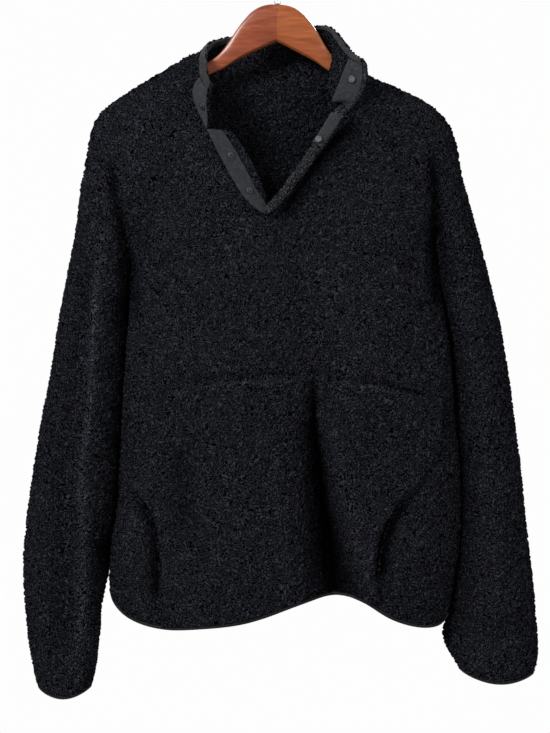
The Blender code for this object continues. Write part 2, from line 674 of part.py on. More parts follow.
def body_panel(name, side):
    pieces, edges = [], {}
    for i, upper, lower in halves(side):
        up, up_n = field_points(side, upper)
        sink = POCKET_SINK + gape_at(lower.shape[:2]) if side == FRONT else 0.0
        low, low_n = field_points(side, lower, sink)
        flatten_edge(up_n[:, 0], slice(ARMPIT_ROW + 1, None))
        flatten_edge(low_n[:, 0], slice(None))
        flatten_edge(up_n[0], slice(None))
        for points in (up, low):
            points[..., 1] += side * SEAM_GAP / 2
        up_n[: ARMPIT_ROW + 1, 0] = rim_normals(up[: ARMPIT_ROW + 1, 0], side, i)
        flip = i == RIGHT
        pieces += [(up, up_n, flip), (low, low_n, flip)]
        if side == FRONT:
            pieces.append((np.stack([up[-1], low[0]]), np.stack([up_n[-1], low_n[0]]), flip))
        edges[i] = {"armhole": up[: ARMPIT_ROW + 1, 0],
                    "neck": edge_frame(up[: NECK_ROW + 1], up_n[: NECK_ROW + 1]),
                    "placket": edge_frame(up[NECK_ROW : TIP_ROW + 1],
                                          up_n[NECK_ROW : TIP_ROW + 1]),
                    "hem": edge_frame(low.swapaxes(0, 1), low_n.swapaxes(0, 1))}
    wall(name, pieces, FLEECE, SHERPA)
    return edges


def edge_frame(points, normals):
    """Along a grid's last column: its points, their normals, and the way off the panel."""
    edge, n = points[:, -1], normals[:, -1]
    run = unit(np.gradient(edge, axis=0))
    off = edge - points[:, -2]
    off = off - run * np.sum(off * run, axis=-1, keepdims=True)
    off = off - n * np.sum(off * n, axis=-1, keepdims=True)
    return edge, n, unit(off)


front_edges = body_panel("front", FRONT)
back_edges = body_panel("back", BACK)


# ---------------------------------------------------------------- sleeves

SLEEVE_RINGS, SLEEVE_SIDES = 17, 2 * ARMPIT_ROW
SLEEVE_CLEAR = 1.2  # between a sleeve and the body's side
ARMHOLE_GAP = 1.0


def armhole_ring(i):
    """The body's armhole as a closed ring, moved off it by the seam's gap."""
    front, back = front_edges[i]["armhole"], back_edges[i]["armhole"]
    points = np.concatenate([front, back[-2:0:-1]])
    normals = np.concatenate(
        [rim_normals(front, FRONT, i), rim_normals(back, BACK, i)[-2:0:-1]])
    points[[0, ARMPIT_ROW], 1] = 0.0
    return points + armhole_away(i)[1] * ARMHOLE_GAP, normals


def sleeve_rings(i):
    """Outer points of a sleeve, ring by ring from the armhole to the cuff."""
    read = table((SLEEVE_LEFT, SLEEVE_RIGHT)[i])
    stations = np.linspace(0, 1, len(read["ridge"]))
    along = spread(SLEEVE_RINGS, (0, 0.1, 0.8), (1, 0.06, 0.6))
    turns = np.arange(SLEEVE_SIDES) / SLEEVE_SIDES * math.tau
    s, turn = along[:, None], turns[None, :]
    at = {name: smooth(stations, values)(s) for name, values in read.items()}
    clear = SLEEVE_CLEAR * (1 if i == LEFT else -1)
    across = (1 - np.cos(turn)) / 2
    x = at["outer_x"] + (at["inner_x"] - clear - at["outer_x"]) * across
    z = at["outer_z"] + (at["inner_z"] - at["outer_z"]) * across
    in_front = np.sin(turn) > 0
    warped = np.where(across < at["ridge"], across / at["ridge"] / 2,
                      0.5 + (across - at["ridge"]) / (1 - at["ridge"]) / 2)
    planed = ease(s / 0.25)
    crossed = across + (warped - across) * planed * in_front
    power = np.where(in_front & (across < at["ridge"]), 2.0 - 0.35 * planed, 2.3)
    bulge = np.sqrt(np.clip(1 - np.abs(2 * crossed - 1) ** power, 0, 1))
    y = at["middle_y"] - np.sign(np.sin(turn)) * at["half_depth"] * bulge
    ring, _ = armhole_ring(i)
    meet = ease(s / 0.12)
    y = ring[:, 1] + (y - ring[:, 1]) * meet
    hang = CUFF_SAG * ease((s - 0.72) / 0.28)
    z = z - hang * np.sin(turn) ** 2 * in_front
    points = np.stack([x, y, z], axis=-1)
    points[0] = ring
    return points, along, turns


def ring_normals(points):
    down = np.gradient(points, axis=0)
    around = (np.roll(points, -1, axis=1) - np.roll(points, 1, axis=1)) / 2
    normals = unit(np.cross(down, around))
    centre = points.mean(axis=1, keepdims=True)
    turned = np.sum(normals * (points - centre), axis=-1)
    return normals * np.where(turned.sum() < 0, -1.0, 1.0)


def crease_sleeve(i, points, along, turns):
    """Presses the sleeve's creases into its outer points."""
    normals = ring_normals(points)
    around = np.linalg.norm(np.roll(points, -1, axis=1) - points, axis=-1).sum(axis=1).mean()
    length = np.linalg.norm(points[-1].mean(axis=0) - points[0].mean(axis=0))
    s, r = np.meshgrid(along * length, turns / math.tau * around, indexing="ij")
    pressed = np.zeros_like(s)
    for on, s_0, r_0, s_1, r_1, depth, width in SLEEVE_FOLDS[1]:
        if on != i:
            continue
        start, end = (s_0 * length, r_0 * around), (s_1 * length, r_1 * around)
        t, off = along_line(s, r, start, end)
        beyond = np.maximum(np.maximum(-t, t - 1), 0) * math.dist(start, end)
        pressed += depth * np.exp(-((off / width) ** 2) - (beyond / 16.0) ** 2)
    pressed *= ease(along / 0.10)[:, None]
    return points - normals * pressed[..., None]


sleeves = {}
for i, name in ((LEFT, "sleeve_right"), (RIGHT, "sleeve_left")):
    rings, along, turns = sleeve_rings(i)
    rings = crease_sleeve(i, rings, along, turns)
    normals = ring_normals(rings)
    normals[0] = armhole_ring(i)[1]
    sleeves[i] = (rings, normals)
    joined = [np.concatenate([g, g[:, :1]], axis=1) for g in (rings, normals)]
    wall(name, [(*joined, i == RIGHT)], FLEECE, SHERPA)


# ---------------------------------------------------------------- pocket


def pocket_panel():
    """The panel over the front's lower part, from the hand openings inwards."""
    pieces = []
    for i, _, lower in halves(FRONT):
        flat = lower[:, SIDE_COLUMNS:]
        points, _ = field_points(FRONT, flat)
        points[..., 1] -= SEAM_GAP / 2
        straight = np.zeros_like(points)
        straight[..., 1] = FRONT
        pieces.append((points, straight, i == RIGHT))
    wall("pocket", pieces, FLEECE, SHERPA)


pocket_panel()

# ---------------------------------------------------------------- collar

COLLAR_GAP = 0.5


def neck_edge():
    """The whole neck edge as frames, from the right front's placket round to the left's."""
    runs = []
    for frames, backward in (
        (front_edges[LEFT]["neck"], True), (back_edges[LEFT]["neck"], False),
        (back_edges[RIGHT]["neck"], True), (front_edges[RIGHT]["neck"], False),
    ):
        runs.append([f[::-1] if backward else f for f in frames])
    points, normals, off = [np.concatenate([run[k] for run in runs]) for k in range(3)]
    doubled = [NECK_ROW + 1, 2 * NECK_ROW + 2, 3 * NECK_ROW + 3]
    for k in doubled:
        for field in (points, normals, off):
            field[k] = (field[k] + field[k - 1]) / 2
    keep = [k for k in range(len(points)) if k + 1 not in doubled]
    return points[keep], unit(normals[keep]), unit(off[keep])


def collar_grid():
    base, base_n, off = neck_edge()
    base = base + off * COLLAR_GAP
    gone = np.concatenate([[0], np.cumsum(np.linalg.norm(np.diff(base, axis=0), axis=1))])
    along = gone / gone[-1]
    read = {name: column(COLLAR, "along", name)(along) for name in COLLAR[0]}
    top = np.stack([read["top_x"], read["top_y"], read["top_z"]], axis=-1)
    bow = np.stack([read["bow_x"], read["bow_y"], read["bow_z"]], axis=-1)
    rows = []
    for t in COLLAR_STEPS:
        low = base + off * 12.0 + bow * 0.4
        high = base * 0.35 + top * 0.65 + bow
        rows.append((1 - t) ** 3 * base + 3 * t * (1 - t) ** 2 * low
                    + 3 * t * t * (1 - t) * high + t**3 * top)
    points = np.stack(rows)
    middle = np.array((np.mean(top[:, 0]), 0.0, 0.0))
    normals = grid_normals(points, (points - middle) * (1, 1, 0))
    for _ in range(2):
        beside = normals[:, :-2] + normals[:, 2:]
        normals[:, 1:-1] = unit(normals[:, 1:-1] * 2 + beside)
    normals[0] = base_n
    return points, normals


collar, collar_n = collar_grid()
wall("collar", [(collar, collar_n, False)], COLLAR_SKIN, SHERPA)

TAPE_GAP = 0.35


def tape_on_collar(name, columns, level):
    """A facing from the neck seam up to just short of the collar's binding."""
    points, normals = collar[:-1, columns].copy(), collar_n[:-1, columns].copy()
    for field in (points, normals):
        field[-1] = field[-2] + (field[-1] - field[-2]) * 0.9
    normals = unit(normals)
    wall(name, [(points + normals * level, normals, False)], TAPE, TWILL)


tape_on_collar("collar_tape_right", slice(0, 4), TAPE_GAP + TAPE)
tape_on_collar("collar_tape_left", slice(-3, None), -COLLAR_SKIN - TAPE_GAP)

EDGE_BAND = {"gap": 0.9, "height": 3.0}


def edge_band(name, outer, inner, off, loop):
    """A binding just off a free edge, from its outer side to its inner side."""
    drop = EDGE_BAND["gap"] + EDGE_BAND["height"] / 2
    rings = []
    for p, q, o in zip(outer, inner, off):
        across = unit(p - q)
        down = unit(o - across * np.dot(o, across))
        rings.append(section((p + q) / 2 + down * drop, across, down,
                             np.linalg.norm(p - q) / 2, EDGE_BAND["height"] / 2, 6))
    return sweep(name, rings, BINDING, loop)



def channel(name, points, normals, thickness, clear, skin):
    """A tape folded over a grid's edge: a U from its last row but one, over the last, and back."""
    up = unit(points[-1] - points[-2])
    inner = points - normals * thickness
    far = clear + skin
    profile = (
        points[-2] + normals[-2] * far, points[-1] + normals[-1] * far + up * clear,
        points[-1] + up * far, inner[-1] + up * far,
        inner[-1] - normals[-1] * far + up * clear, inner[-2] - normals[-2] * far,
        inner[-2] - normals[-2] * clear, inner[-1] - normals[-1] * clear + up * clear,
        points[-1] + normals[-1] * clear + up * clear, points[-2] + normals[-2] * clear,
    )
    return sweep(name, np.stack(profile, axis=1), TWILL, turned=(4, 8))


channel("collar_binding", collar, collar_n, COLLAR_SKIN, 0.45, 1.0)

# ---------------------------------------------------------------- hem and cuff bindings


def hem_loop():
    """Frames all round the hem: front from the right side to the left, then the back."""
    sides = []
    for edges, order in ((front_edges, (LEFT, RIGHT)), (back_edges, (RIGHT, LEFT))):
        for k, i in enumerate(order):
            points, normals, off = edges[i]["hem"]
            outer, inner = points.copy(), points - normals * FLEECE
            if edges is front_edges:
                outer[SIDE_COLUMNS:, 1] -= POCKET_SINK
            rows = slice(0, -1) if k == 0 else slice(-1, 0, -1)
            sides.append([field[rows] for field in (outer, inner, off)])
    return [np.concatenate([side[k] for side in sides]) for k in range(3)]


edge_band("hem_binding", *hem_loop(), True)
for i, name in ((LEFT, "cuff_binding_right"), (RIGHT, "cuff_binding_left")):
    rings, normals = sleeves[i]
    edge_band(name, rings[-1], rings[-1] - normals[-1] * FLEECE, unit(rings[-1] - rings[-2]),
              True)

# ---------------------------------------------------------------- plackets


def resampled(frames, places):
    """Edge frames at fractions of their run."""
    at = np.linspace(0, 1, len(frames[0]))
    read = [np.stack([np.interp(places, at, f[:, k]) for k in range(3)], axis=-1) for f in frames]
    return read[0], unit(read[1]), unit(read[2])


def underlap_grid():
    along = np.linspace(0.0, 0.965, 8)
    base, base_n, off = resampled(front_edges[LEFT]["placket"], along)
    base = base + off * COLLAR_GAP
    read = {name: column(UNDERLAP, "along", name)(along) for name in UNDERLAP[0]}
    y = -(half_depth(FRONT, read["free_x"], read["free_z"]) - read["deeper"])
    free = np.stack([read["free_x"], y, read["free_z"]], axis=-1)
    rows = [base + (free - base) * t for t in np.linspace(0, 1, 4)]
    points = np.stack(rows, axis=1)
    normals = grid_normals(points, np.array((0, -1, 0)))
    normals[:, 0] = base_n
    return points, normals


underlap, underlap_n = underlap_grid()
wall("placket_right", [(underlap, underlap_n, False)], UNDERLAP_SKIN, SHERPA)
face = (slice(0, None), slice(0, 3))
wall("placket_tape_right", [(underlap[face] + underlap_n[face] * (TAPE_GAP + TAPE),
                             underlap_n[face], False)], TAPE, TWILL)

OVERLAP_SIDES = 10


def overlap_rings():
    """The band folded over along the sewn edge: its rings and the middle of each."""
    along = np.linspace(0.006, 0.985, 15)
    base, n, off = resampled(front_edges[RIGHT]["placket"], along)
    read = {name: column(OVERLAP, "along", name)(along) for name in OVERLAP[0]}
    middle = base + off * (COLLAR_GAP + read["width"] / 2)[:, None]
    middle = middle + n * (read["proud"] - read["thick"] / 2)[:, None]
    rings = []
    for k, (p, a, b) in enumerate(zip(middle, off, n)):
        end = 0.75 if k == 0 else 0.6 if k == len(middle) - 1 else 1.0
        rings.append(section(p, a, b, read["width"][k] / 2 * end, read["thick"][k] / 2 * end,
                             OVERLAP_SIDES, 2.3))
    return np.array(rings), middle


overlap, overlap_middle = overlap_rings()
sweep("placket_left", overlap, SHERPA)
facing = overlap[1:6, 0:4]
facing_n = unit(facing - overlap_middle[1:6, None])
wall("placket_tape_left", [(facing + facing_n * (TAPE_GAP + TAPE), facing_n, False)], TAPE, TWILL)

# ---------------------------------------------------------------- snaps


def on_grid(points, normals, row, col, lift):
    """A point and normal at a fractional place on a grid, lifted off it."""
    r, c = int(row), int(col)
    fr, fc = row - r, col - c
    mixed = []
    for field in (points, normals):
        near = field[r, c] * (1 - fc) + field[r, c + 1] * fc
        far = field[r + 1, c] * (1 - fc) + field[r + 1, c + 1] * fc
        mixed.append(near * (1 - fr) + far * fr)
    n = unit(mixed[1])
    return mixed[0] + n * lift, n


def lathe(name, place, normal, profile, sides=12):
    """A turned piece: rings of (radius, height) along a normal."""
    helper = np.array((0, 0, 1.0)) if abs(normal[2]) < 0.9 else np.array((1.0, 0, 0))
    a = unit(np.cross(normal, helper))
    b = np.cross(normal, a)
    turns = np.arange(sides) / sides * math.tau
    rings = [place + normal * h + r * (np.cos(turns)[:, None] * a + np.sin(turns)[:, None] * b)
             for r, h in profile]
    return sweep(name, rings, SNAP_METAL)


tape_top = TAPE_GAP + TAPE + SNAP_SEAT
STUDS = (
    ("snap_stud_1", underlap, underlap_n, 5.0, 1.1), ("snap_stud_2", underlap, underlap_n, 2.2, 1.2),
    ("snap_stud_3", collar, collar_n, 2.6, 0.9),
)
for name, points, normals, row, col in STUDS:
    lathe(name, *on_grid(points, normals, row, col, tape_top), STUD_PROFILE)
place, normal = on_grid(collar, collar_n, 3.0, collar.shape[1] - 2.1,
                        -COLLAR_SKIN - TAPE_GAP - TAPE - SNAP_SEAT - 0.6)
lathe("snap_socket_1", place, -normal, SOCKET_PROFILE)
place = facing[3:5, 1:3].mean(axis=(0, 1))
normal = unit(facing_n[3:5, 1:3].mean(axis=(0, 1)))
lathe("snap_socket_2", place + normal * (tape_top + 0.4), normal, SOCKET_PROFILE)

# ---------------------------------------------------------------- hanger


def tilted(points):
    """Hanger points turned about the rail, garment's right side up."""
    c, s = math.cos(HANGER_TILT), math.sin(HANGER_TILT)
    x, y, z = np.moveaxis(np.asarray(points, float), -1, 0)
    return np.stack([x * c + z * s, y, -x * s + z * c], axis=-1)


def hanger_arm(name, towards):
    stations = np.array([row[0] for row in ARM[1]], float)
    out = np.unique(np.concatenate([stations, (5, 15, 25.5, 36, 66)]))
    read = {column_name: column(ARM, "out", column_name)(out) for column_name in ARM[0]}
    rings = []
    for k, reach in enumerate(out):
        x = towards * max(reach, SEAM_GAP / 2)
        top, bottom = read["top"][k], read["bottom"][k]
        middle = np.array((x, 0.0, (top + bottom) / 2))
        y, z = np.array((0, 1.0, 0)), np.array((0, 0, 1.0))
        rings.append(section(middle, y, z, read["half_thick"][k], (top - bottom) / 2,
                             ARM_SECTION, 3.2))
    tip = rings[-1]
    centre = tip.mean(axis=0)
    rings.append(centre + (tip - centre) * 0.6 + np.array((towards * 2.2, 0, -1.5)))
    return sweep(name, tilted(rings), CHERRY)


hanger_arm("hanger_arm_right", -1)
hanger_arm("hanger_arm_left", 1)


def hanger_hook():
    """Steel wire: a ferrule on the crown, a stem, and the bend over the rail."""
    wire = HOOK_WIRE / 2
    centre_z = wire - HOOK_BEND
    turns = np.linspace(math.radians(228), HOOK_TIP_ANGLE, 26)
    bend = np.stack([HOOK_BEND * np.cos(turns), centre_z + HOOK_BEND * np.sin(turns)], axis=-1)
    stem = [(0, -74), (0, -62), (-0.6, -53), (-4.5, -45.5), (-9.5, -40.5)]
    path = polyline(np.concatenate([np.array(stem, float), bend[1:]]), 600)(
        np.linspace(0, 1, 44))
    crown = ARM[1][0][1] + 0.4
    ferrule = [(crown, FERRULE["radius"]), (crown + 3.2, FERRULE["radius"]),
               (crown + 3.4, wire)]
    points = [np.array((0, 0, z)) for z, _ in ferrule]
    radii = [r for _, r in ferrule]
    points += [np.array((x, 0, z)) for x, z in path]
    radii += [wire] * (len(path) - 1) + [wire * 0.8]
    run = unit(np.gradient(np.array(points), axis=0))
    y = np.array((0, 1.0, 0))
    rings = [section(p, unit(np.cross(y, d)), y, r, r, 8, 2.0)
             for p, d, r in zip(points, run, radii)]
    sweep("hanger_hook", tilted(rings), STEEL)


hanger_hook()
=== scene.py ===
"""The look of the sherpa pullover on its wooden hanger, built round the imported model."""

import math

import bmesh
import bpy
import numpy as np
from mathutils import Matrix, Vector, noise
from mathutils.bvhtree import BVHTree


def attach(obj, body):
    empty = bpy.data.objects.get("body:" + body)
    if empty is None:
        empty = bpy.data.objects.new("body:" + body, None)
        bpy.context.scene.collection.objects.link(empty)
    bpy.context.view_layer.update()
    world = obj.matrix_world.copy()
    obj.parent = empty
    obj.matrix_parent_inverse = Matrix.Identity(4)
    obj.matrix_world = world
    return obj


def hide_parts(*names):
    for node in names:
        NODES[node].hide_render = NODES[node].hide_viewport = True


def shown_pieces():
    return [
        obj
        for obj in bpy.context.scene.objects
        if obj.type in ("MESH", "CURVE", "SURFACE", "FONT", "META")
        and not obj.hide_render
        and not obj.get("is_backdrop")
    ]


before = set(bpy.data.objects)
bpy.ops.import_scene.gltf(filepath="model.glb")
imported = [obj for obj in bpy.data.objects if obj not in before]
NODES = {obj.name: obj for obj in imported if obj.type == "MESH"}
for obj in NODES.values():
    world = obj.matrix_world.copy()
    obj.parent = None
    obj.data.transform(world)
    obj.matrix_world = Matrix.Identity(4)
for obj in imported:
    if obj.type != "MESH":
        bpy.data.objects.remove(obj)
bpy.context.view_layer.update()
MM = 0.001
NOISE_SEED = 7
noise.seed_set(NOISE_SEED)  # without it, noise_vector starts from the clock

# ---------------------------------------------------------------- camera, floor and light

VIEW_CENTRE = Vector((-0.0047, 0.0, -0.506))  # what the picture's middle shows
VIEW_DISTANCE = 3.0
VIEW_HEIGHT = 0.865  # height of the picture in the garment's plane
SENSOR = 36.0  # mm
FLOOR_Z, FLOOR_RADIUS = -1.45, 1.9
WORLD_WHITE = 0.985

camera_data = bpy.data.cameras.new("camera")
camera_data.sensor_width = SENSOR
camera_data.lens = SENSOR * VIEW_DISTANCE / VIEW_HEIGHT
camera_data.clip_start, camera_data.clip_end = 0.05, 50.0
camera = bpy.data.objects.new("camera", camera_data)
camera.location = VIEW_CENTRE - Vector((0, VIEW_DISTANCE, 0))
camera.rotation_euler = (math.pi / 2, 0, 0)
bpy.context.scene.collection.objects.link(camera)
bpy.context.scene.camera = camera
bpy.context.scene.view_settings.view_transform = "Standard"


def area_light(name, place, aim, size, energy):
    """A white disk of a lamp; its place, aim and size are in metres and its energy in watts."""
    data = bpy.data.lights.new(name, "AREA")
    data.shape = "DISK"
    data.size = size
    data.energy = energy
    light = bpy.data.objects.new(name, data)
    light.location = place
    light.rotation_euler = (Vector(aim) - Vector(place)).to_track_quat("-Z", "Y").to_euler()
    bpy.context.scene.collection.objects.link(light)


area_light("key", place=(-1.5, -2.0, 1.0), aim=(0, 0, -0.45), size=0.9, energy=190)
area_light("fill", place=(1.6, -1.8, 0.2), aim=(0, 0, -0.5), size=1.2, energy=45)
area_light("back", place=(0.6, 2.4, 1.0), aim=(0, 0, -0.5), size=1.6, energy=90)

# ---------------------------------------------------------------- shader building


class Shader:
    """A Principled material put together from short lines.

    Socket names are keywords here, with _ for a space, and _0, _1 and _2 stand for unnamed ones.
    """

    def __init__(self, name, **fixed):
        self.material = bpy.data.materials.new(name)
        self.material.use_nodes = True
        self.tree = self.material.node_tree
        self.surface = self.tree.nodes["Principled BSDF"]
        for socket, value in fixed.items():
            self.surface.inputs[socket.replace("_", " ")].default_value = value
        self.place = self.node("TexCoord").outputs["Object"]

    def node(self, kind, **inputs):
        made = self.tree.nodes.new("ShaderNode" + kind)
        self.fill(made, inputs)
        return made

    def fill(self, made, inputs):
        for key, value in inputs.items():
            socket = made.inputs[int(key[1:])] if key[0] == "_" else made.inputs[key]
            if isinstance(value, bpy.types.NodeSocket):
                self.tree.links.new(value, socket)
            else:
                socket.default_value = value

    def maths(self, operation, a, b=0.0, c=0.0):
        made = self.node("Math", _0=a, _1=b, _2=c)
        made.operation = operation
        return made.outputs[0]

    def noise(self, scale, detail=2.0, roughness=0.5, distortion=0.0, place=None):
        made = self.node("TexNoise", Scale=scale, Detail=detail, Roughness=roughness)
        made.inputs["Distortion"].default_value = distortion
        self.tree.links.new(place or self.place, made.inputs["Vector"])
        return made.outputs["Fac"]

    def attribute(self, label):
        made = self.node("Attribute")
        made.attribute_name = label
        return made.outputs["Fac"]

    def stretched(self, scale, turn=(0, 0, 0)):
        made = self.node("Mapping", Scale=scale, Rotation=turn, Vector=self.place)
        return made.outputs["Vector"]

    def moved(self, scale, amount):
        """The place, pushed about by up to half of an amount, by a noise of three channels."""
        wander = self.node("TexNoise", Scale=scale, Vector=self.place).outputs["Color"]
        centred = self.node("VectorMath", _0=wander, _1=(0.5, 0.5, 0.5))
        centred.operation = "SUBTRACT"
        scaled = self.node("VectorMath", _0=centred.outputs[0])
        scaled.operation = "SCALE"
        scaled.inputs["Scale"].default_value = amount
        return self.node("VectorMath", _0=self.place, _1=scaled.outputs[0]).outputs[0]

    def ramp(self, factor, *stops):
        """A colour from a factor, by stops that each give a position and a colour."""
        made = self.node("ValToRGB", Fac=factor)
        band = made.color_ramp
        for element, (where, colour) in zip(band.elements, (stops[0], stops[-1])):
            element.position = where
            element.color = (*colour, 1)
        for where, colour in stops[1:-1]:
            band.elements.new(where).color = (*colour, 1)
        return made.outputs["Color"]

    def bump(self, height, distance, strength=1.0, under=None):
        """A normal from a height over a distance in metres, on top of another one."""
        made = self.node("Bump", Height=height, Distance=distance, Strength=strength)
        if under:
            self.tree.links.new(under, made.inputs["Normal"])
        return made.outputs["Normal"]

    def finish(self, **linked):
        for socket, value in linked.items():
            self.tree.links.new(value, self.surface.inputs[socket.replace("_", " ")])
        return self.material


CURL_BANDS = 34.0  # sine waves over a noise's range, in radians: each band is one strand of a curl


def sherpa_material(name, dark, light, fineness=172.0):
    """Near-black fleece: short curls with painted light on their tips, and painted shade in their gaps
    and where a fold closes.
    """
    s = Shader(name, Roughness=1.0, Specular_IOR_Level=0.0)
    field = s.noise(fineness, detail=0.0, place=s.moved(500.0, 2.0 * MM))
    curls = s.maths("SINE", s.maths("MULTIPLY", field, CURL_BANDS))
    fibres = s.noise(1300.0, detail=3.0, roughness=0.7, distortion=0.8)
    patches = s.noise(22.0, detail=3.0)
    # The brightness mixes curl strands, fibres and random patches with the pile attribute, which paints
    # light on curl tips and raised clumps and paints shade in the gaps between curls.
    painted_light_and_tone = s.maths("MULTIPLY_ADD", curls, 0.5, 0.5)
    for part, share in ((fibres, 0.20), (s.attribute("pile"), 0.20), (patches, 0.24)):
        painted_light_and_tone = s.maths("MULTIPLY_ADD", part, share, painted_light_and_tone)
    colour = s.node("VectorMath", _0=s.ramp(painted_light_and_tone, (0.40, dark), (1.0, light)))
    colour.operation = "SCALE"
    # The tone attribute scales the colour: painted shade in fold valleys and where parts meet, painted
    # light on fold ridges.
    s.tree.links.new(s.attribute("tone"), colour.inputs["Scale"])
    normal = s.bump(fibres, 0.4 * MM, 0.8, under=s.bump(curls, 1.2 * MM))
    return s.finish(Base_Color=colour.outputs[0], Normal=normal)


def woven_material(name, dark, light, rib, turn):
    """Twill or plain tape: ribs in rows a rib apart, with some wander, fuzz and wear."""
    s = Shader(name, Roughness=0.9, Sheen_Weight=0.02, Specular_IOR_Level=0.1)
    place = s.stretched((1, 1, 1), turn)
    bands = s.node("TexWave", Scale=1 / rib, Distortion=1.2, Vector=place)
    bands.inputs["Detail"].default_value = 2.0
    bands.inputs["Detail Scale"].default_value = 2.0
    cross = s.node("TexWave", Scale=1.4 / rib, Distortion=0.8, Vector=place)
    cross.bands_direction = "Z"
    weave = s.maths("MULTIPLY", bands.outputs["Fac"], cross.outputs["Fac"])
    fuzz = s.noise(900.0, detail=4.0, roughness=0.6)
    worn = s.noise(240.0, detail=3.0, roughness=0.7)
    tone = s.maths("ADD", s.maths("MULTIPLY", weave, 0.45), s.maths("MULTIPLY", fuzz, 0.35))
    tone = s.maths("ADD", tone, s.maths("MULTIPLY", worn, 0.75))
    colour = s.ramp(tone, (0.48, dark), (0.88, light))
    normal = s.bump(worn, 1.6 * MM, 0.8, under=s.bump(weave, 0.4 * MM, 0.8))
    return s.finish(Base_Color=colour, Normal=s.bump(fuzz, 0.3 * MM, 0.5, under=normal))


def wood_material(name, dark, middle, light):
    """Varnished wood with its grain along the arm."""
    s = Shader(name, Coat_Weight=0.06, Coat_Roughness=0.35, Specular_IOR_Level=0.16)
    grain, fine_grain = s.stretched((18, 160, 160)), s.stretched((60, 1400, 1400))
    rings = s.noise(1.0, detail=5.0, roughness=0.6, distortion=1.1, place=grain)
    pores = s.noise(1.0, detail=3.0, roughness=0.7, place=fine_grain)
    tone = s.maths("ADD", s.maths("MULTIPLY", rings, 0.75), s.maths("MULTIPLY", pores, 0.3))
    colour = s.ramp(tone, (0.32, dark), (0.52, middle), (0.72, light))
    rough = s.maths("MULTIPLY_ADD", rings, 0.18, 0.22)
    return s.finish(Base_Color=colour, Roughness=rough, Normal=s.bump(tone, 0.2 * MM, 0.35))


def metal_material(name, dark, light, rough, scratch):
    """Metal with worn patches and fine scratches of a depth in metres."""
    s = Shader(name, Metallic=1.0)
    wear = s.noise(420.0, detail=4.0, roughness=0.65)
    lines = s.noise(1.0, place=s.stretched((300, 300, 2600)))
    tone = s.maths("ADD", s.maths("MULTIPLY", wear, 0.7), s.maths("MULTIPLY", lines, 0.3))
    colour = s.ramp(tone, (0.3, dark), (0.75, light))
    roughness = s.maths("MULTIPLY_ADD", wear, 0.3, rough)
    return s.finish(Base_Color=colour, Roughness=roughness, Normal=s.bump(lines, scratch, 0.4))


def floor_material():
    s = Shader("pale_floor", Roughness=0.9)
    grain = s.noise(3.0, detail=3.0)
    colour = s.ramp(grain, (0.3, (0.50, 0.50, 0.50)), (0.7, (0.54, 0.54, 0.535)))
    return s.finish(Base_Color=colour)


TWILL_SLANT = (0, math.radians(38), 0)
BINDING_SLANT = (0, 0, 0.3)
SHERPA = sherpa_material("sherpa_pile", (0.0003, 0.0003, 0.0004), (0.0116, 0.0122, 0.0155))
# A lighter copy of the fleece for the rolled edges, which stand out into the light: painted light.
ROLL = sherpa_material("sherpa_roll", (0.0012, 0.0013, 0.0015), (0.0300, 0.0310, 0.0350), 230.0)
TWILL = woven_material(
    "twill", (0.0052, 0.0055, 0.0068), (0.0190, 0.0202, 0.0232), 1.1 * MM, TWILL_SLANT
)
BINDING = woven_material(
    "binding_cloth", (0.0018, 0.0019, 0.0023), (0.0175, 0.0182, 0.0200), 2.2 * MM, BINDING_SLANT
)
EDGE_BINDING = woven_material(
    "edge_cloth", (0.0010, 0.0010, 0.0012), (0.0042, 0.0043, 0.0050), 0.9 * MM, BINDING_SLANT
)
WOOD_RIGHT = wood_material(
    "wood_red", (0.050, 0.0090, 0.0030), (0.088, 0.0185, 0.0065), (0.130, 0.0320, 0.0110)
)
WOOD_LEFT = wood_material(
    "wood_orange", (0.064, 0.0135, 0.0032), (0.110, 0.0270, 0.0065), (0.150, 0.0420, 0.0110)
)
SNAP_METAL = metal_material(
    "gunmetal", (0.010, 0.010, 0.011), (0.046, 0.046, 0.049), rough=0.38, scratch=0.1 * MM
)
STEEL = metal_material(
    "steel_wire", (0.42, 0.42, 0.43), (0.75, 0.75, 0.75), rough=0.12, scratch=0.05 * MM
)

world = bpy.data.worlds.new("white_room")
world.use_nodes = True
background = world.node_tree.nodes["Background"]
background.inputs["Color"].default_value = (WORLD_WHITE, WORLD_WHITE, WORLD_WHITE, 1)
bpy.context.scene.world = world

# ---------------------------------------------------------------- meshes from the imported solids

SHARP = math.radians(48)  # a wall's edge turns by more than this
JOIN_DISTANCE = 0.005 * MM  # corners nearer than this are one
QUAD_BEND, QUAD_SKEW = 0.75, 1.3  # radians by which two triangles of one quad may differ
WALL = 7 * MM  # an edge face is narrower than this
CANCELLED = 0.3  # pushes that add up to less than this cancel out
ROUNDING_LEVELS = 2


def joined(node):
    """A node's closed mesh with its corners joined and its quads put back together."""
    bm = bmesh.new()
    bm.from_mesh(NODES[node].data)
    bmesh.ops.remove_doubles(bm, verts=bm.verts, dist=JOIN_DISTANCE)
    bmesh.ops.join_triangles(
        bm, faces=bm.faces, angle_face_threshold=QUAD_BEND, angle_shape_threshold=QUAD_SKEW
    )
    bm.normal_update()
    return bm


def sharp_edges(bm):
    return {e for e in bm.edges if len(e.link_faces) == 2 and e.calc_face_angle(0.0) > SHARP}


def narrow(face):
    """Whether a face can be part of the strip round a wall's edge."""
    return face.calc_area() < WALL * max(e.calc_length() for e in face.edges)


def closed_up(bm, by):
    """Pushes the narrow faces round a wall's edges outward, so that sewn edges meet."""
    sharp = sharp_edges(bm)
    push = {}
    for face in bm.faces:
        if sum(e in sharp for e in face.edges) >= 2 and narrow(face):
            for v in face.verts:
                push[v] = push.get(v, Vector()) + face.normal
    for v, way in push.items():
        if way.length > CANCELLED:
            v.co += by * way.normalized()


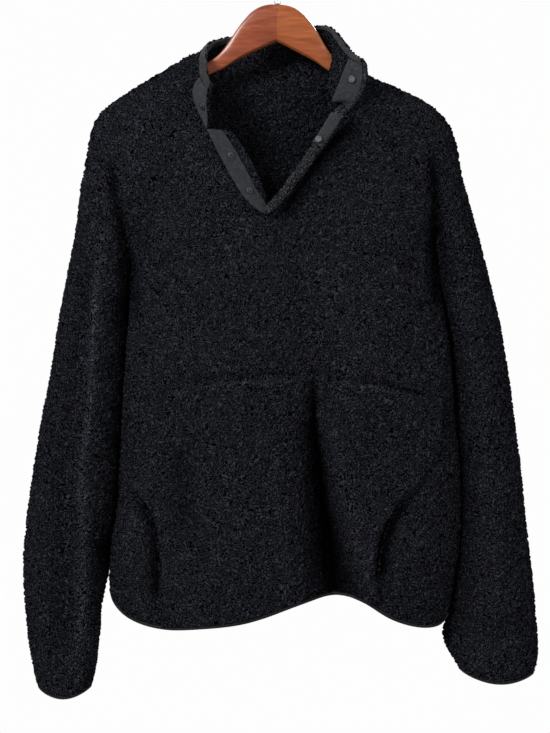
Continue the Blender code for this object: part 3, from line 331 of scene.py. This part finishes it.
def tree_of(names):
    """One search tree over the solids of several nodes."""
    points, faces = [], []
    for name in names:
        mesh = NODES[name].data
        start = len(points)
        points += [v.co.copy() for v in mesh.vertices]
        faces += [[start + i for i in p.vertices] for p in mesh.polygons]
    return BVHTree.FromPolygons(points, faces)


GOLDEN_ANGLE = 2.39996  # radians


def spread_rays(count):
    """Directions spread evenly over the upper half of a sphere, in a spiral."""
    rays = []
    for i in range(count):
        height = (i + 0.5) / count
        radius = math.sqrt(1 - height**2)
        rays.append(Vector((
            math.cos(GOLDEN_ANGLE * i) * radius, math.sin(GOLDEN_ANGLE * i) * radius, height
        )))
    return rays


EVERYTHING = tree_of(sorted(NODES))
SKY = spread_rays(40)
CLEAR_OF_SURFACE = 1.6 * MM
SEEN_SHARE = 0.075  # of the rays that reach the room from a place that counts as seen
TOWARDS_CORNER = 0.55  # how far from a face's middle to its corners it is tested


def seen(place, normal):
    """Whether enough of the room, or the camera, sees this bit of surface."""
    start = place + normal * CLEAR_OF_SURFACE
    towards = camera.location - start
    if towards.dot(normal) > 0 and EVERYTHING.ray_cast(start, towards.normalized())[0] is None:
        return True
    turn = normal.to_track_quat("Z", "Y")
    free = sum(EVERYTHING.ray_cast(start, turn @ ray)[0] is None for ray in SKY)
    return free >= SEEN_SHARE * len(SKY)


def mark_seen(bm):
    """Sets material 1 on faces that something sees, and on the edge faces beside them."""
    found = []
    for face in bm.faces:
        face.material_index = 0
        middle = face.calc_center_median()
        tested = [middle.lerp(v.co, TOWARDS_CORNER) for v in face.verts]
        if any(seen(place, face.normal) for place in tested):
            found.append(face)
    for face in found:
        face.material_index = 1
        for near in {near for v in face.verts for near in v.link_faces}:
            if narrow(near):
                near.material_index = 1


def subdivided(bm, crease):
    """(points, triangles, seen) after Catmull-Clark rounding that keeps sharp edges fairly sharp."""
    layer = bm.edges.layers.float.new("crease_edge")
    for edge in sharp_edges(bm):
        edge[layer] = crease
    mesh = bpy.data.meshes.new("rough")
    bm.to_mesh(mesh)
    bm.free()
    for _ in range(2):  # unseen and seen
        mesh.materials.append(SHERPA)
    rough = bpy.data.objects.new("rough", mesh)
    bpy.context.scene.collection.objects.link(rough)
    rounding = rough.modifiers.new("rounding", "SUBSURF")
    rounding.levels = rounding.render_levels = ROUNDING_LEVELS
    graph = bpy.context.evaluated_depsgraph_get()
    fine = rough.evaluated_get(graph).to_mesh()
    fine.calc_loop_triangles()
    points = np.empty(len(fine.vertices) * 3)
    fine.vertices.foreach_get("co", points)
    triangles = np.empty(len(fine.loop_triangles) * 3, np.int32)
    fine.loop_triangles.foreach_get("vertices", triangles)
    owner = np.empty(len(fine.loop_triangles), np.int32)
    fine.loop_triangles.foreach_get("polygon_index", owner)
    index = np.empty(len(fine.polygons), np.int32)
    fine.polygons.foreach_get("material_index", index)
    rough.evaluated_get(graph).to_mesh_clear()
    bpy.data.objects.remove(rough)
    bpy.data.meshes.remove(mesh)
    return points.reshape(-1, 3), triangles.reshape(-1, 3), index[owner] > 0


def split_once(points, limits, triangles, wanted):
    """Halves each edge over its limit on a wanted triangle; its neighbours follow."""
    sides = np.stack([triangles, np.roll(triangles, -1, 1)], 2).astype(np.int64).reshape(-1, 2)
    codes = sides.min(1) * len(points) + sides.max(1)
    codes, which = np.unique(codes, return_inverse=True)
    edges = np.stack([codes // len(points), codes % len(points)], 1)
    which = which.reshape(-1, 3)
    length = np.linalg.norm(points[edges[:, 0]] - points[edges[:, 1]], axis=1)
    split = np.zeros(len(edges), bool)
    split[which[wanted].ravel()] = True
    split &= length > limits[edges].min(1)
    if not split.any():
        return points, limits, triangles, wanted, False
    middle = np.full(len(edges), -1)
    middle[split] = len(points) + np.arange(split.sum())
    points = np.vstack([points, points[edges[split]].mean(1)])
    limits = np.concatenate([limits, limits[edges[split]].mean(1)])
    mids = middle[which]
    count = (mids >= 0).sum(1)
    out, kept = [triangles[count == 0]], [wanted[count == 0]]
    for number in (1, 2, 3):
        rows = count == number
        corner, mid, flag = triangles[rows], mids[rows], wanted[rows]
        if not len(corner):
            continue
        # Turn each triangle so that a lone split side is its first, and a lone whole side its last.
        lone = np.argmax(mid >= 0, 1) if number == 1 else (np.argmax(mid < 0, 1) + 1) % 3
        turn = (lone[:, None] + np.arange(3)) % 3
        a, b, c = np.take_along_axis(corner, turn, 1).T
        p, q, r = np.take_along_axis(mid, turn, 1).T
        if number == 1:
            parts = ((a, p, c), (p, b, c))
        elif number == 2:
            parts = ((a, p, c), (p, q, c), (p, b, q))
        else:
            parts = ((a, p, r), (p, b, q), (r, q, c), (p, q, r))
        for part in parts:
            out.append(np.stack(part, 1))
            kept.append(flag)
    return points, limits, np.vstack(out), np.concatenate(kept), True


SPLITS = 7  # rounds of splitting at most
EDGE_ON = 0.5  # how far a surface may face the front and still make the outline
EDGE_ON_LONGEST = 2.4 * MM


def refined(points, triangles, wanted, longest):
    """Splits until no wanted edge is over its limit, which is another where the outline can run."""
    facing = np.abs(normals_of(points, triangles)[:, 1])
    limits = np.where(facing < EDGE_ON, EDGE_ON_LONGEST, longest)
    for _ in range(SPLITS):
        points, limits, triangles, wanted, more = split_once(points, limits, triangles, wanted)
        if not more:
            break
    return points, triangles, wanted


def normals_of(points, triangles):
    """Each point's unit normal, by the areas of the triangles round it."""
    a, b, c = (points[triangles[:, i]] for i in range(3))
    flat = np.cross(b - a, c - a)
    total = np.zeros_like(points)
    for i in range(3):
        np.add.at(total, triangles[:, i], flat)
    return total / np.maximum(np.linalg.norm(total, axis=1, keepdims=True), 1e-12)


FEATHER_ROUNDS = 3
FEATHER_OWN, FEATHER_AROUND = 0.4, 0.6  # a point's own share of its next weight, and its neighbours'


def feathered(count, triangles, wanted):
    """1 well inside the wanted triangles, 0 outside them, and soft between."""
    weight = np.ones(count)
    weight[np.unique(triangles[~wanted])] = 0
    ends = np.concatenate([triangles[:, [0, 1]], triangles[:, [1, 2]], triangles[:, [2, 0]]])
    degree = np.bincount(ends[:, 0], minlength=count)
    outside = weight == 0
    for _ in range(FEATHER_ROUNDS):
        around = np.bincount(ends[:, 0], weight[ends[:, 1]], count) / np.maximum(degree, 1)
        weight = np.where(outside, 0, FEATHER_OWN * weight + FEATHER_AROUND * around)
    return weight


def new_piece(name, points, triangles, material, *nodes, slot):
    """A visible piece that rides on the part's one body, in place of the solids of some nodes."""
    mesh = bpy.data.meshes.new(name)
    mesh.from_pydata(points.tolist(), [], triangles.tolist())
    mesh.materials.append(material)
    mesh.polygons.foreach_set("use_smooth", [True] * len(mesh.polygons))
    piece = bpy.data.objects.new(name, mesh)
    bpy.context.scene.collection.objects.link(piece)
    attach(piece, "root")
    if nodes:
        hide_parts(*nodes)
    return piece


# ---------------------------------------------------------------- pile and creases

CURL = 4.4 * MM  # one curl of the pile
CURL_SWAY, CURL_TWIST = 0.55, 0.18  # how far noise pushes the curls about, in curls
CURL_REACH = 0.72  # from a curl's middle to where its dome ends, in curls
CURL_GAP = 0.30  # width of the gap between two curls, in curls
DOME_SHARE, RIM_SHARE = 0.55, 0.45
PILE_DEPTH = 2.4 * MM  # from the curls' tips down to the ground between them
PILE_TIP = 1.0 * MM  # how far the strongest curls stand over the solid
HIDDEN_HEIGHT = 0.35  # of the pile where nothing sees it
CLUMP = 17 * MM
CLUMP_SWING = 0.7 * MM
# Painted light: a clump that stands out is painted lighter in the fleece's colour.
CLUMP_SHADE = 0.25  # how much a clump lifts the pile's brightness
LEAST_WEIGHT = 0.01  # points that move by less than this share of the pile are left plain
SEAM_CLOSE = 2.0 * MM  # how far each wall's edge is pushed out to meet the one that it is sewn to

BODY = ("front", "pocket")
# Folds and seams over the solids' own. A line is a row of (x, z) in mm, and runs down or from the
# garment's right to its left. Side is -1 for a sleeve's front, 1 for its back and 0 for all round it,
# while a flat panel folds with both its faces. A negative depth stands up. The widths, in mm, are
# those on the right and on the left of someone who goes along the line from its start in the front
# view, and they grow by the two factors from its start to its end. The tone is painted into the
# fleece's colour: below 0 it is painted shade in a valley or where parts meet, above 0 painted light
# on a ridge.
FOLDS = ("pieces", "side", "depth", "widths", "growth", "tone", "line"), (
    (BODY, -1, 7.5, (19, 10), (0.32, 1.5), -0.97, (
        (40, -510), (41, -576), (46, -615), (50, -655), (57, -694), (65, -733), (76, -768), (84, -795),
    )),
    (BODY, -1, -2.6, (5, 14), (0.5, 1.2), 0.18, (
        (56, -560), (62, -600), (69, -640), (78, -680), (88, -718), (101, -756), (113, -785),
    )),
    (BODY, -1, -1.5, (16, 9), (0.8, 1.1), 0.05, (
        (14, -560), (12, -620), (10, -680), (12, -740), (18, -780),
    )),
    (BODY, -1, 2.6, (16, 14), (0.8, 1.0), -0.34, ((-119, -600), (-112, -650), (-108, -705))),
    (BODY, -1, 1.8, (12, 12), (0.8, 1.0), -0.16, ((104, -556), (106, -618))),
    (BODY, -1, 1.2, (3.2, 5), (1, 1), -0.26, (
        (-150, -536), (-132, -531), (-70, -519), (0, -517), (40, -512), (80, -519), (118, -526),
        (158, -536), (178, -546),
    )),
    (BODY, -1, -1.5, (4, 3), (1, 1), 0.40, (
        (-150, -544), (-132, -538), (-70, -526), (0, -524), (40, -519), (80, -526), (118, -533),
        (158, -543), (178, -553),
    )),
    (BODY, -1, 4.6, (13, 1.8), (0.6, 1.1), -0.80, (
        (-166, -655), (-149, -677), (-142, -704), (-139.5, -735), (-141, -760), (-139, -780),
    )),
    (BODY, -1, -1.9, (3, 7), (0.8, 1), 0.16, (
        (-150, -664), (-141, -680), (-135, -705), (-133, -735), (-134, -765),
    )),
    (BODY, -1, 5.0, (1.8, 11), (0.7, 1.3), -0.92, (
        (146, -658), (125.4, -689), (116.5, -713), (113.3, -746), (113, -757),
    )),
    (BODY, -1, -1.2, (7, 7), (1, 1), 0.30, ((190, -618), (174, -638), (156, -656))),
    (BODY, -1, -1.9, (7, 3), (0.8, 1), 0.16, ((133, -664), (117, -690), (109, -714), (106, -752))),
    (("front",), -1, 2.8, (3, 17), (1.1, 0.8), -0.85, (
        (92, -212), (62, -243), (36, -276), (10, -318), (-6, -338),
    )),
    (("front",), -1, 1.6, (8, 3), (1, 0.8), -0.28, ((-84, -236), (-58, -272), (-24, -326), (-12, -340))),
    (("front", "sleeve_right"), -1, 3.4, (10, 9), (0.5, 1.2), -0.70, (
        (-199, -262), (-191, -309), (-180, -356), (-174, -419), (-176, -450),
    )),
    (("front", "sleeve_left"), -1, 3.6, (9, 11), (0.6, 1.2), -0.85, (
        (177, -250), (182, -309), (184, -388), (187, -445),
    )),
    # The next two rows sink nothing and only paint shade where each sleeve meets the body.
    (("sleeve_right",), 0, 0.0, (24, 8), (0.6, 1), -0.96, (
        (-176, -380), (-177, -427), (-178, -488), (-182, -548), (-184, -597), (-183, -627),
        (-185, -668), (-192, -697), (-202, -716), (-203, -780),
    )),
    (("sleeve_left",), 0, 0.0, (8, 25), (0.6, 1), -0.97, (
        (184, -380), (187, -445), (195, -488), (198, -548), (205, -584), (207, -650), (205, -716),
        (199, -758), (199, -794), (192, -820),
    )),
    (("sleeve_right",), -1, -4.0, (4, 10), (0.7, 1.1), 0.85, (
        (-206, -340), (-214, -400), (-216, -441), (-223, -543), (-231, -615), (-233, -659),
        (-232, -716), (-231, -788), (-239, -870),
    )),
    (("sleeve_right",), -1, 4.0, (18, 4), (0.6, 1.1), -0.50, (
        (-222, -380), (-227, -441), (-235, -543), (-245, -615), (-248, -659), (-247, -716),
        (-247, -788), (-253, -850),
    )),
    (("sleeve_left",), -1, -2.2, (9, 14), (0.8, 1), 0.12, (
        (216, -420), (226, -520), (236, -620), (242, -720), (246, -800),
    )),
    (("sleeve_left",), -1, 1.6, (9, 9), (1, 1), -0.15, ((222, -800), (252, -818), (284, -806))),
    (("sleeve_left",), 1, 2.2, (9, 12), (0.8, 1), -0.15, ((214, -400), (228, -560), (240, -720))),
    (("sleeve_right",), 1, 2.2, (12, 9), (0.8, 1), -0.15, ((-208, -400), (-228, -560), (-240, -740))),
    (("front",), -1, 2.2, (8, 8), (1, 1), -0.20, ((-150, -395), (-96, -352))),
    (("front",), -1, 1.6, (7, 7), (1, 1), -0.15, ((-158, -420), (-118, -404))),
    (("front",), -1, 2.4, (8, 8), (1, 1), -0.20, ((112, -356), (168, -402))),
    (("front",), -1, 1.4, (7, 7), (1, 1), -0.15, ((140, -425), (176, -440))),
    (("front",), -1, 1.8, (12, 12), (1, 1), -0.16, ((-120, -190), (-146, -300))),
    (("front",), -1, 2.0, (12, 12), (1, 1), -0.12, ((118, -190), (150, -300))),
    (("back",), 1, 2.4, (9, 9), (1, 1), -0.20, ((-140, -395), (-90, -350))),
    (("back",), 1, 2.4, (9, 9), (1, 1), -0.20, ((104, -352), (150, -398))),
    (("back",), 1, 1.6, (12, 12), (1, 1), -0.12, ((-60, -230), (60, -246))),
    (("back",), 1, 1.2, (14, 14), (1, 1), -0.10, ((-84, -262), (92, -282))),
    (("back",), 1, 2.6, (14, 10), (0.5, 1.2), -0.30, ((-58, -560), (-66, -660), (-84, -790))),
    (("back",), 1, 2.2, (10, 14), (0.5, 1.2), -0.24, ((70, -600), (86, -700), (112, -800))),
    (("back",), 1, 1.4, (16, 16), (1, 1), -0.10, ((-40, -480), (60, -520))),
)


def curl_height(points):
    """0 in the gaps between curls and 1 on their tips, from cells pushed about by noise."""
    height = np.empty(len(points))
    for i, place in enumerate(points):
        p = Vector(place) / CURL
        sway, twist = noise.noise_vector(p * 0.8), noise.noise_vector(p * 2.3)
        near = noise.voronoi(p + CURL_SWAY * sway + CURL_TWIST * twist)[0]
        dome = 1 - min(1.0, near[0] / CURL_REACH) ** 2
        rim = min(1.0, (near[1] - near[0]) / CURL_GAP)
        height[i] = DOME_SHARE * dome + RIM_SHARE * rim
    return height


def slow_noise(points, size):
    """Smooth noise about 0 whose swells are about a size across."""
    return np.array([noise.noise(Vector(p) / size) for p in points])


OUTWARD = {"front": -1, "pocket": -1, "back": 1}  # which way along Y a flat panel's outside faces
WANDER, WANDER_SIZE = 0.22, 26 * MM  # how a fold's width varies along it
FACING_GAIN = 1.6  # how fast a fold on one side of a piece fades where the piece turns away
END_SHARE, END_GAIN = 0.25, 6  # a fold's strength at its ends, and how fast it grows from there


def across(flat, line):
    """Each point's distance from a line in the garment's plane, its side and its share of the way.

    The side is below 0 on the right of the line, as it runs, and above 0 on its left.
    """
    best, side, share = np.full(len(flat), np.inf), np.zeros(len(flat)), np.zeros(len(flat))
    run = np.diff(line, axis=0)
    length = np.linalg.norm(run, axis=1)
    start = np.concatenate([[0], np.cumsum(length)[:-1]])
    for corner, way, long, begun in zip(line, run, length, start):
        t = np.clip(((flat - corner) @ way) / long**2, 0, 1)
        off = flat - corner - t[:, None] * way
        away = np.linalg.norm(off, axis=1)
        near = away < best
        best[near] = away[near]
        side[near] = (way[0] * off[:, 1] - way[1] * off[:, 0])[near]
        share[near] = ((begun + t * long) / length.sum())[near]
    return best, side, share


def pressed(name, points, normals):
    """How far each point sinks in the folds of its piece, and the painted shade (valleys) and painted
    light (ridges) that scale its colour there.
    """
    sink, tone = np.zeros(len(points)), np.ones(len(points))
    flat = points[:, [0, 2]] / MM
    wander = 1 + WANDER * slow_noise(points, WANDER_SIZE)
    for pieces, face, depth, widths, growth, shade, line in FOLDS[1]:
        if name not in pieces:
            continue
        away, side, share = across(flat, np.array(line, float))
        width = np.where(side < 0, widths[0], widths[1]) * wander
        width = width * (growth[0] + (growth[1] - growth[0]) * share)
        ends = np.clip(np.minimum(share, 1 - share) * END_GAIN + END_SHARE, 0, 1)
        shape = np.exp(-((away / width) ** 2)) * ends
        if face:
            facing = np.abs(normals[:, 1]) if name in OUTWARD else face * normals[:, 1]
            shape = shape * np.clip(facing * FACING_GAIN, 0, 1)
        sink += depth * shape
        # Painted shade: the colour darkens in a valley. Painted light: it brightens on a ridge.
        tone *= 1 + shade * shape
    return sink * MM, tone


# Where a sleeve's inner side leans on the body: which way along X that is, then rows of a height and
# how far the side moves there, in mm.
LEANS = {
    "sleeve_right": (1, (-330, 0), (-400, 6.5), (-600, 7.5), (-740, 6.5), (-790, 0)),
    "sleeve_left": (-1, (-330, 0), (-400, 7.0), (-600, 8.5), (-820, 10.0), (-865, 1)),
}
LEAN_BACK = 0.8  # how far it moves back for each millimetre along X
LEAN_ROW = 8  # mm of height in which a sleeve's width is measured


def leaned(name, points):
    """A sleeve whose inner side is tucked in behind the body's edge."""
    if name not in LEANS:
        return points
    way, *steps = LEANS[name]
    x, z = points[:, 0] * way, points[:, 2] / MM
    rows = np.round(z / LEAN_ROW).astype(int)
    rows -= rows.min()
    low, high = np.full(rows.max() + 1, np.inf), np.full(rows.max() + 1, -np.inf)
    np.minimum.at(low, rows, x)
    np.maximum.at(high, rows, x)
    share = np.clip((x - low[rows]) / np.maximum(high[rows] - low[rows], 1e-6), 0, 1)
    heights, amounts = zip(*reversed(steps))
    move = np.interp(z, heights, amounts) * MM * share**3
    return points + np.stack([way * move, LEAN_BACK * move, 0 * move], 1)


def shaded(piece, pile, tone):
    """Gives a piece the two attributes that the sherpa materials read, which paint light and shade into
    the fleece's colour.
    """
    for label, values in (("pile", pile), ("tone", tone)):
        attribute = piece.data.attributes.new(label, "FLOAT", "POINT")
        attribute.data.foreach_set("value", values)
    return piece


# The longest edge of each piece's mesh, which is finer where a small piece has to hold its form.
LONGEST = {
    "front": 4.6 * MM, "back": 5.0 * MM, "sleeve_left": 4.2 * MM, "sleeve_right": 4.2 * MM,
    "pocket": 4.2 * MM, "collar": 2.4 * MM, "placket_left": 1.8 * MM, "placket_right": 1.8 * MM,
}
CLOTH_CREASE = 0.5  # how sharp a wall's edges stay when it is rounded


def piled(name, depth=1.0, material=SHERPA):
    """A fleece node with curls over all that is seen of it, its folds and its lean."""
    bm = joined(name)
    mark_seen(bm)
    closed_up(bm, SEAM_CLOSE)
    points, triangles, wanted = refined(*subdivided(bm, CLOTH_CREASE), LONGEST[name])
    normals = normals_of(points, triangles)
    weight = feathered(len(points), triangles, wanted)
    live = np.flatnonzero(weight > LEAST_WEIGHT)
    height = np.full(len(points), HIDDEN_HEIGHT)
    height[live] = curl_height(points[live])
    clump = np.zeros(len(points))
    clump[live] = slow_noise(points[live], CLUMP)
    move = (PILE_TIP + PILE_DEPTH) * height - PILE_DEPTH + CLUMP_SWING * clump
    move = depth * move * weight
    sink, tone = pressed(name, points, normals)
    if name in OUTWARD:
        points[:, 1] -= OUTWARD[name] * sink
    else:
        move -= sink
    points = leaned(name, points + normals * move[:, None])
    piece = new_piece(name + "_fleece", points, triangles, material, name, slot="sherpa")
    # The pile attribute is painted light on curl tips and raised clumps, and painted shade in the gaps.
    return shaded(piece, np.clip(height + CLUMP_SHADE * clump, 0, 1), tone)


JOIN_CLOSE = 1.6 * MM  # how far each of the hanger's arms runs on into the other
ARM_JOINS = {"hanger_arm_right": 1, "hanger_arm_left": -1}  # which way along X


def plain(name, node, material, slot, crease=CLOTH_CREASE, swell=0.0, ruffle=0.0, size=6 * MM):
    """A node rounded as it is, for tape, binding, wood and wire, with the cloth's own waver."""
    bm = joined(node)
    for v in bm.verts:
        v.co += swell * v.normal
    if node in ARM_JOINS:
        reach = ARM_JOINS[node]
        join = max(v.co.x * reach for v in bm.verts)
        for v in bm.verts:
            if v.co.x * reach > join - JOIN_CLOSE:
                v.co.x += reach * JOIN_CLOSE
    points, triangles, _ = subdivided(bm, crease)
    if ruffle:
        wave = slow_noise(points, size) + 0.5 * slow_noise(points, size / 2.3)
        points = points + normals_of(points, triangles) * (ruffle * wave)[:, None]
    return new_piece(name, points, triangles, material, node, slot=slot)


ROLL_STEP = 1.5 * MM
ROLL_SIDES = 14
ROLL_PILE = 1.6 * MM
ROLL_GROUND = 0.6  # the height of the pile that lies on the roll's own radius
SMOOTHINGS = 4  # rounds in which a roll's middle line loses its corners
TAPER_GAIN, TAPER_LEAST = 9, 0.12  # how fast a roll fills out from its ends, and its least radius


def roll(name, path, radius, material):
    """A turned edge of fleece along a path of points in mm, closed and narrow at its ends."""
    path = np.array(path, float) * MM
    length = np.concatenate([[0], np.cumsum(np.linalg.norm(np.diff(path, axis=0), axis=1))])
    along = np.linspace(0, length[-1], int(length[-1] / ROLL_STEP) + 2)
    middle = np.stack([np.interp(along, length, path[:, i]) for i in range(3)], 1)
    for _ in range(SMOOTHINGS):
        middle[1:-1] = (middle[:-2] + 2 * middle[1:-1] + middle[2:]) / 4
    way = np.gradient(middle, axis=0)
    way /= np.linalg.norm(way, axis=1, keepdims=True)
    out = np.cross(way, (0.0, 0.0, 1.0))
    out /= np.linalg.norm(out, axis=1, keepdims=True)
    up = np.cross(out, way)
    turn = np.linspace(0, 2 * math.pi, ROLL_SIDES, endpoint=False)
    ring = np.cos(turn)[None, :, None] * out[:, None] + np.sin(turn)[None, :, None] * up[:, None]
    share = along / along[-1]
    taper = np.clip(np.minimum(share, 1 - share) * TAPER_GAIN, 0, 1) ** 0.5
    reach = radius * np.maximum(taper, TAPER_LEAST)
    points = (middle[:, None] + reach[:, None, None] * ring).reshape(-1, 3)
    height = curl_height(points)
    points = points + (ROLL_PILE * (height - ROLL_GROUND))[:, None] * ring.reshape(-1, 3)
    triangles = []
    for i in range(len(along) - 1):
        for j in range(ROLL_SIDES):
            a, b = i * ROLL_SIDES + j, i * ROLL_SIDES + (j + 1) % ROLL_SIDES
            triangles += [(a, b, b + ROLL_SIDES), (a, b + ROLL_SIDES, a + ROLL_SIDES)]
    last = len(points) - ROLL_SIDES
    triangles += [(0, j + 1, j) for j in range(1, ROLL_SIDES - 1)]
    triangles += [(last, last + j, last + j + 1) for j in range(1, ROLL_SIDES - 1)]
    piece = new_piece(name, points, np.array(triangles), material, slot="sherpa")
    return shaded(piece, height, np.ones(len(points)))


# ---------------------------------------------------------------- the pieces

COLLAR_END = (  # the collar's own front end on the garment's left, in mm
    (97, -53, -150), (99.2, -54.6, -157), (99.4, -53.8, -165), (97.4, -51.2, -177),
    (92.8, -47.6, -189.5), (86.0, -45.0, -199.5), (78.0, -44.0, -207.5), (70, -44, -214),
)
COLLAR_END_RADIUS = 3.6 * MM
TAPE_RUFFLE = 0.7 * MM
TAPES = ("collar_tape_left", "collar_tape_right", "placket_tape_left", "placket_tape_right")

for name in ("front", "back", "sleeve_left", "sleeve_right", "pocket", "collar"):
    piled(name)
piled("placket_left", depth=0.8, material=ROLL)
collar_roll = roll("collar_end_roll", COLLAR_END, COLLAR_END_RADIUS, ROLL)
piled("placket_right", depth=0.4)

for name in TAPES:
    plain(name + "_twill", name, TWILL, "twill_tape", ruffle=TAPE_RUFFLE)
plain(
    "collar_binding_cloth", "collar_binding", BINDING, "binding", ruffle=TAPE_RUFFLE, size=4.5 * MM
)
for name in ("hem_binding", "cuff_binding_left", "cuff_binding_right"):
    plain(name + "_cloth", name, EDGE_BINDING, "binding", swell=0.5 * MM)
for side, wood in (("left", WOOD_LEFT), ("right", WOOD_RIGHT)):
    plain("arm_" + side + "_wood", "hanger_arm_" + side, wood, "varnished_wood", crease=0.8)
plain("hook_wire", "hanger_hook", STEEL, "steel", crease=0.6)
for name in NODES:
    if name.startswith("snap_"):
        NODES[name].data.materials.clear()
        NODES[name].data.materials.append(SNAP_METAL)

# ---------------------------------------------------------------- floor

floor_mesh = bpy.data.meshes.new("floor")
floor_bm = bmesh.new()
bmesh.ops.create_circle(floor_bm, cap_ends=True, segments=96, radius=FLOOR_RADIUS)
floor_bm.to_mesh(floor_mesh)
floor_mesh.materials.append(floor_material())
floor = bpy.data.objects.new("floor", floor_mesh)
floor.location.z = FLOOR_Z
bpy.context.scene.collection.objects.link(floor)
floor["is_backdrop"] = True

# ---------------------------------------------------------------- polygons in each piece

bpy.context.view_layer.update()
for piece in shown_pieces():
    print("piece", piece.name, len(piece.data.polygons))
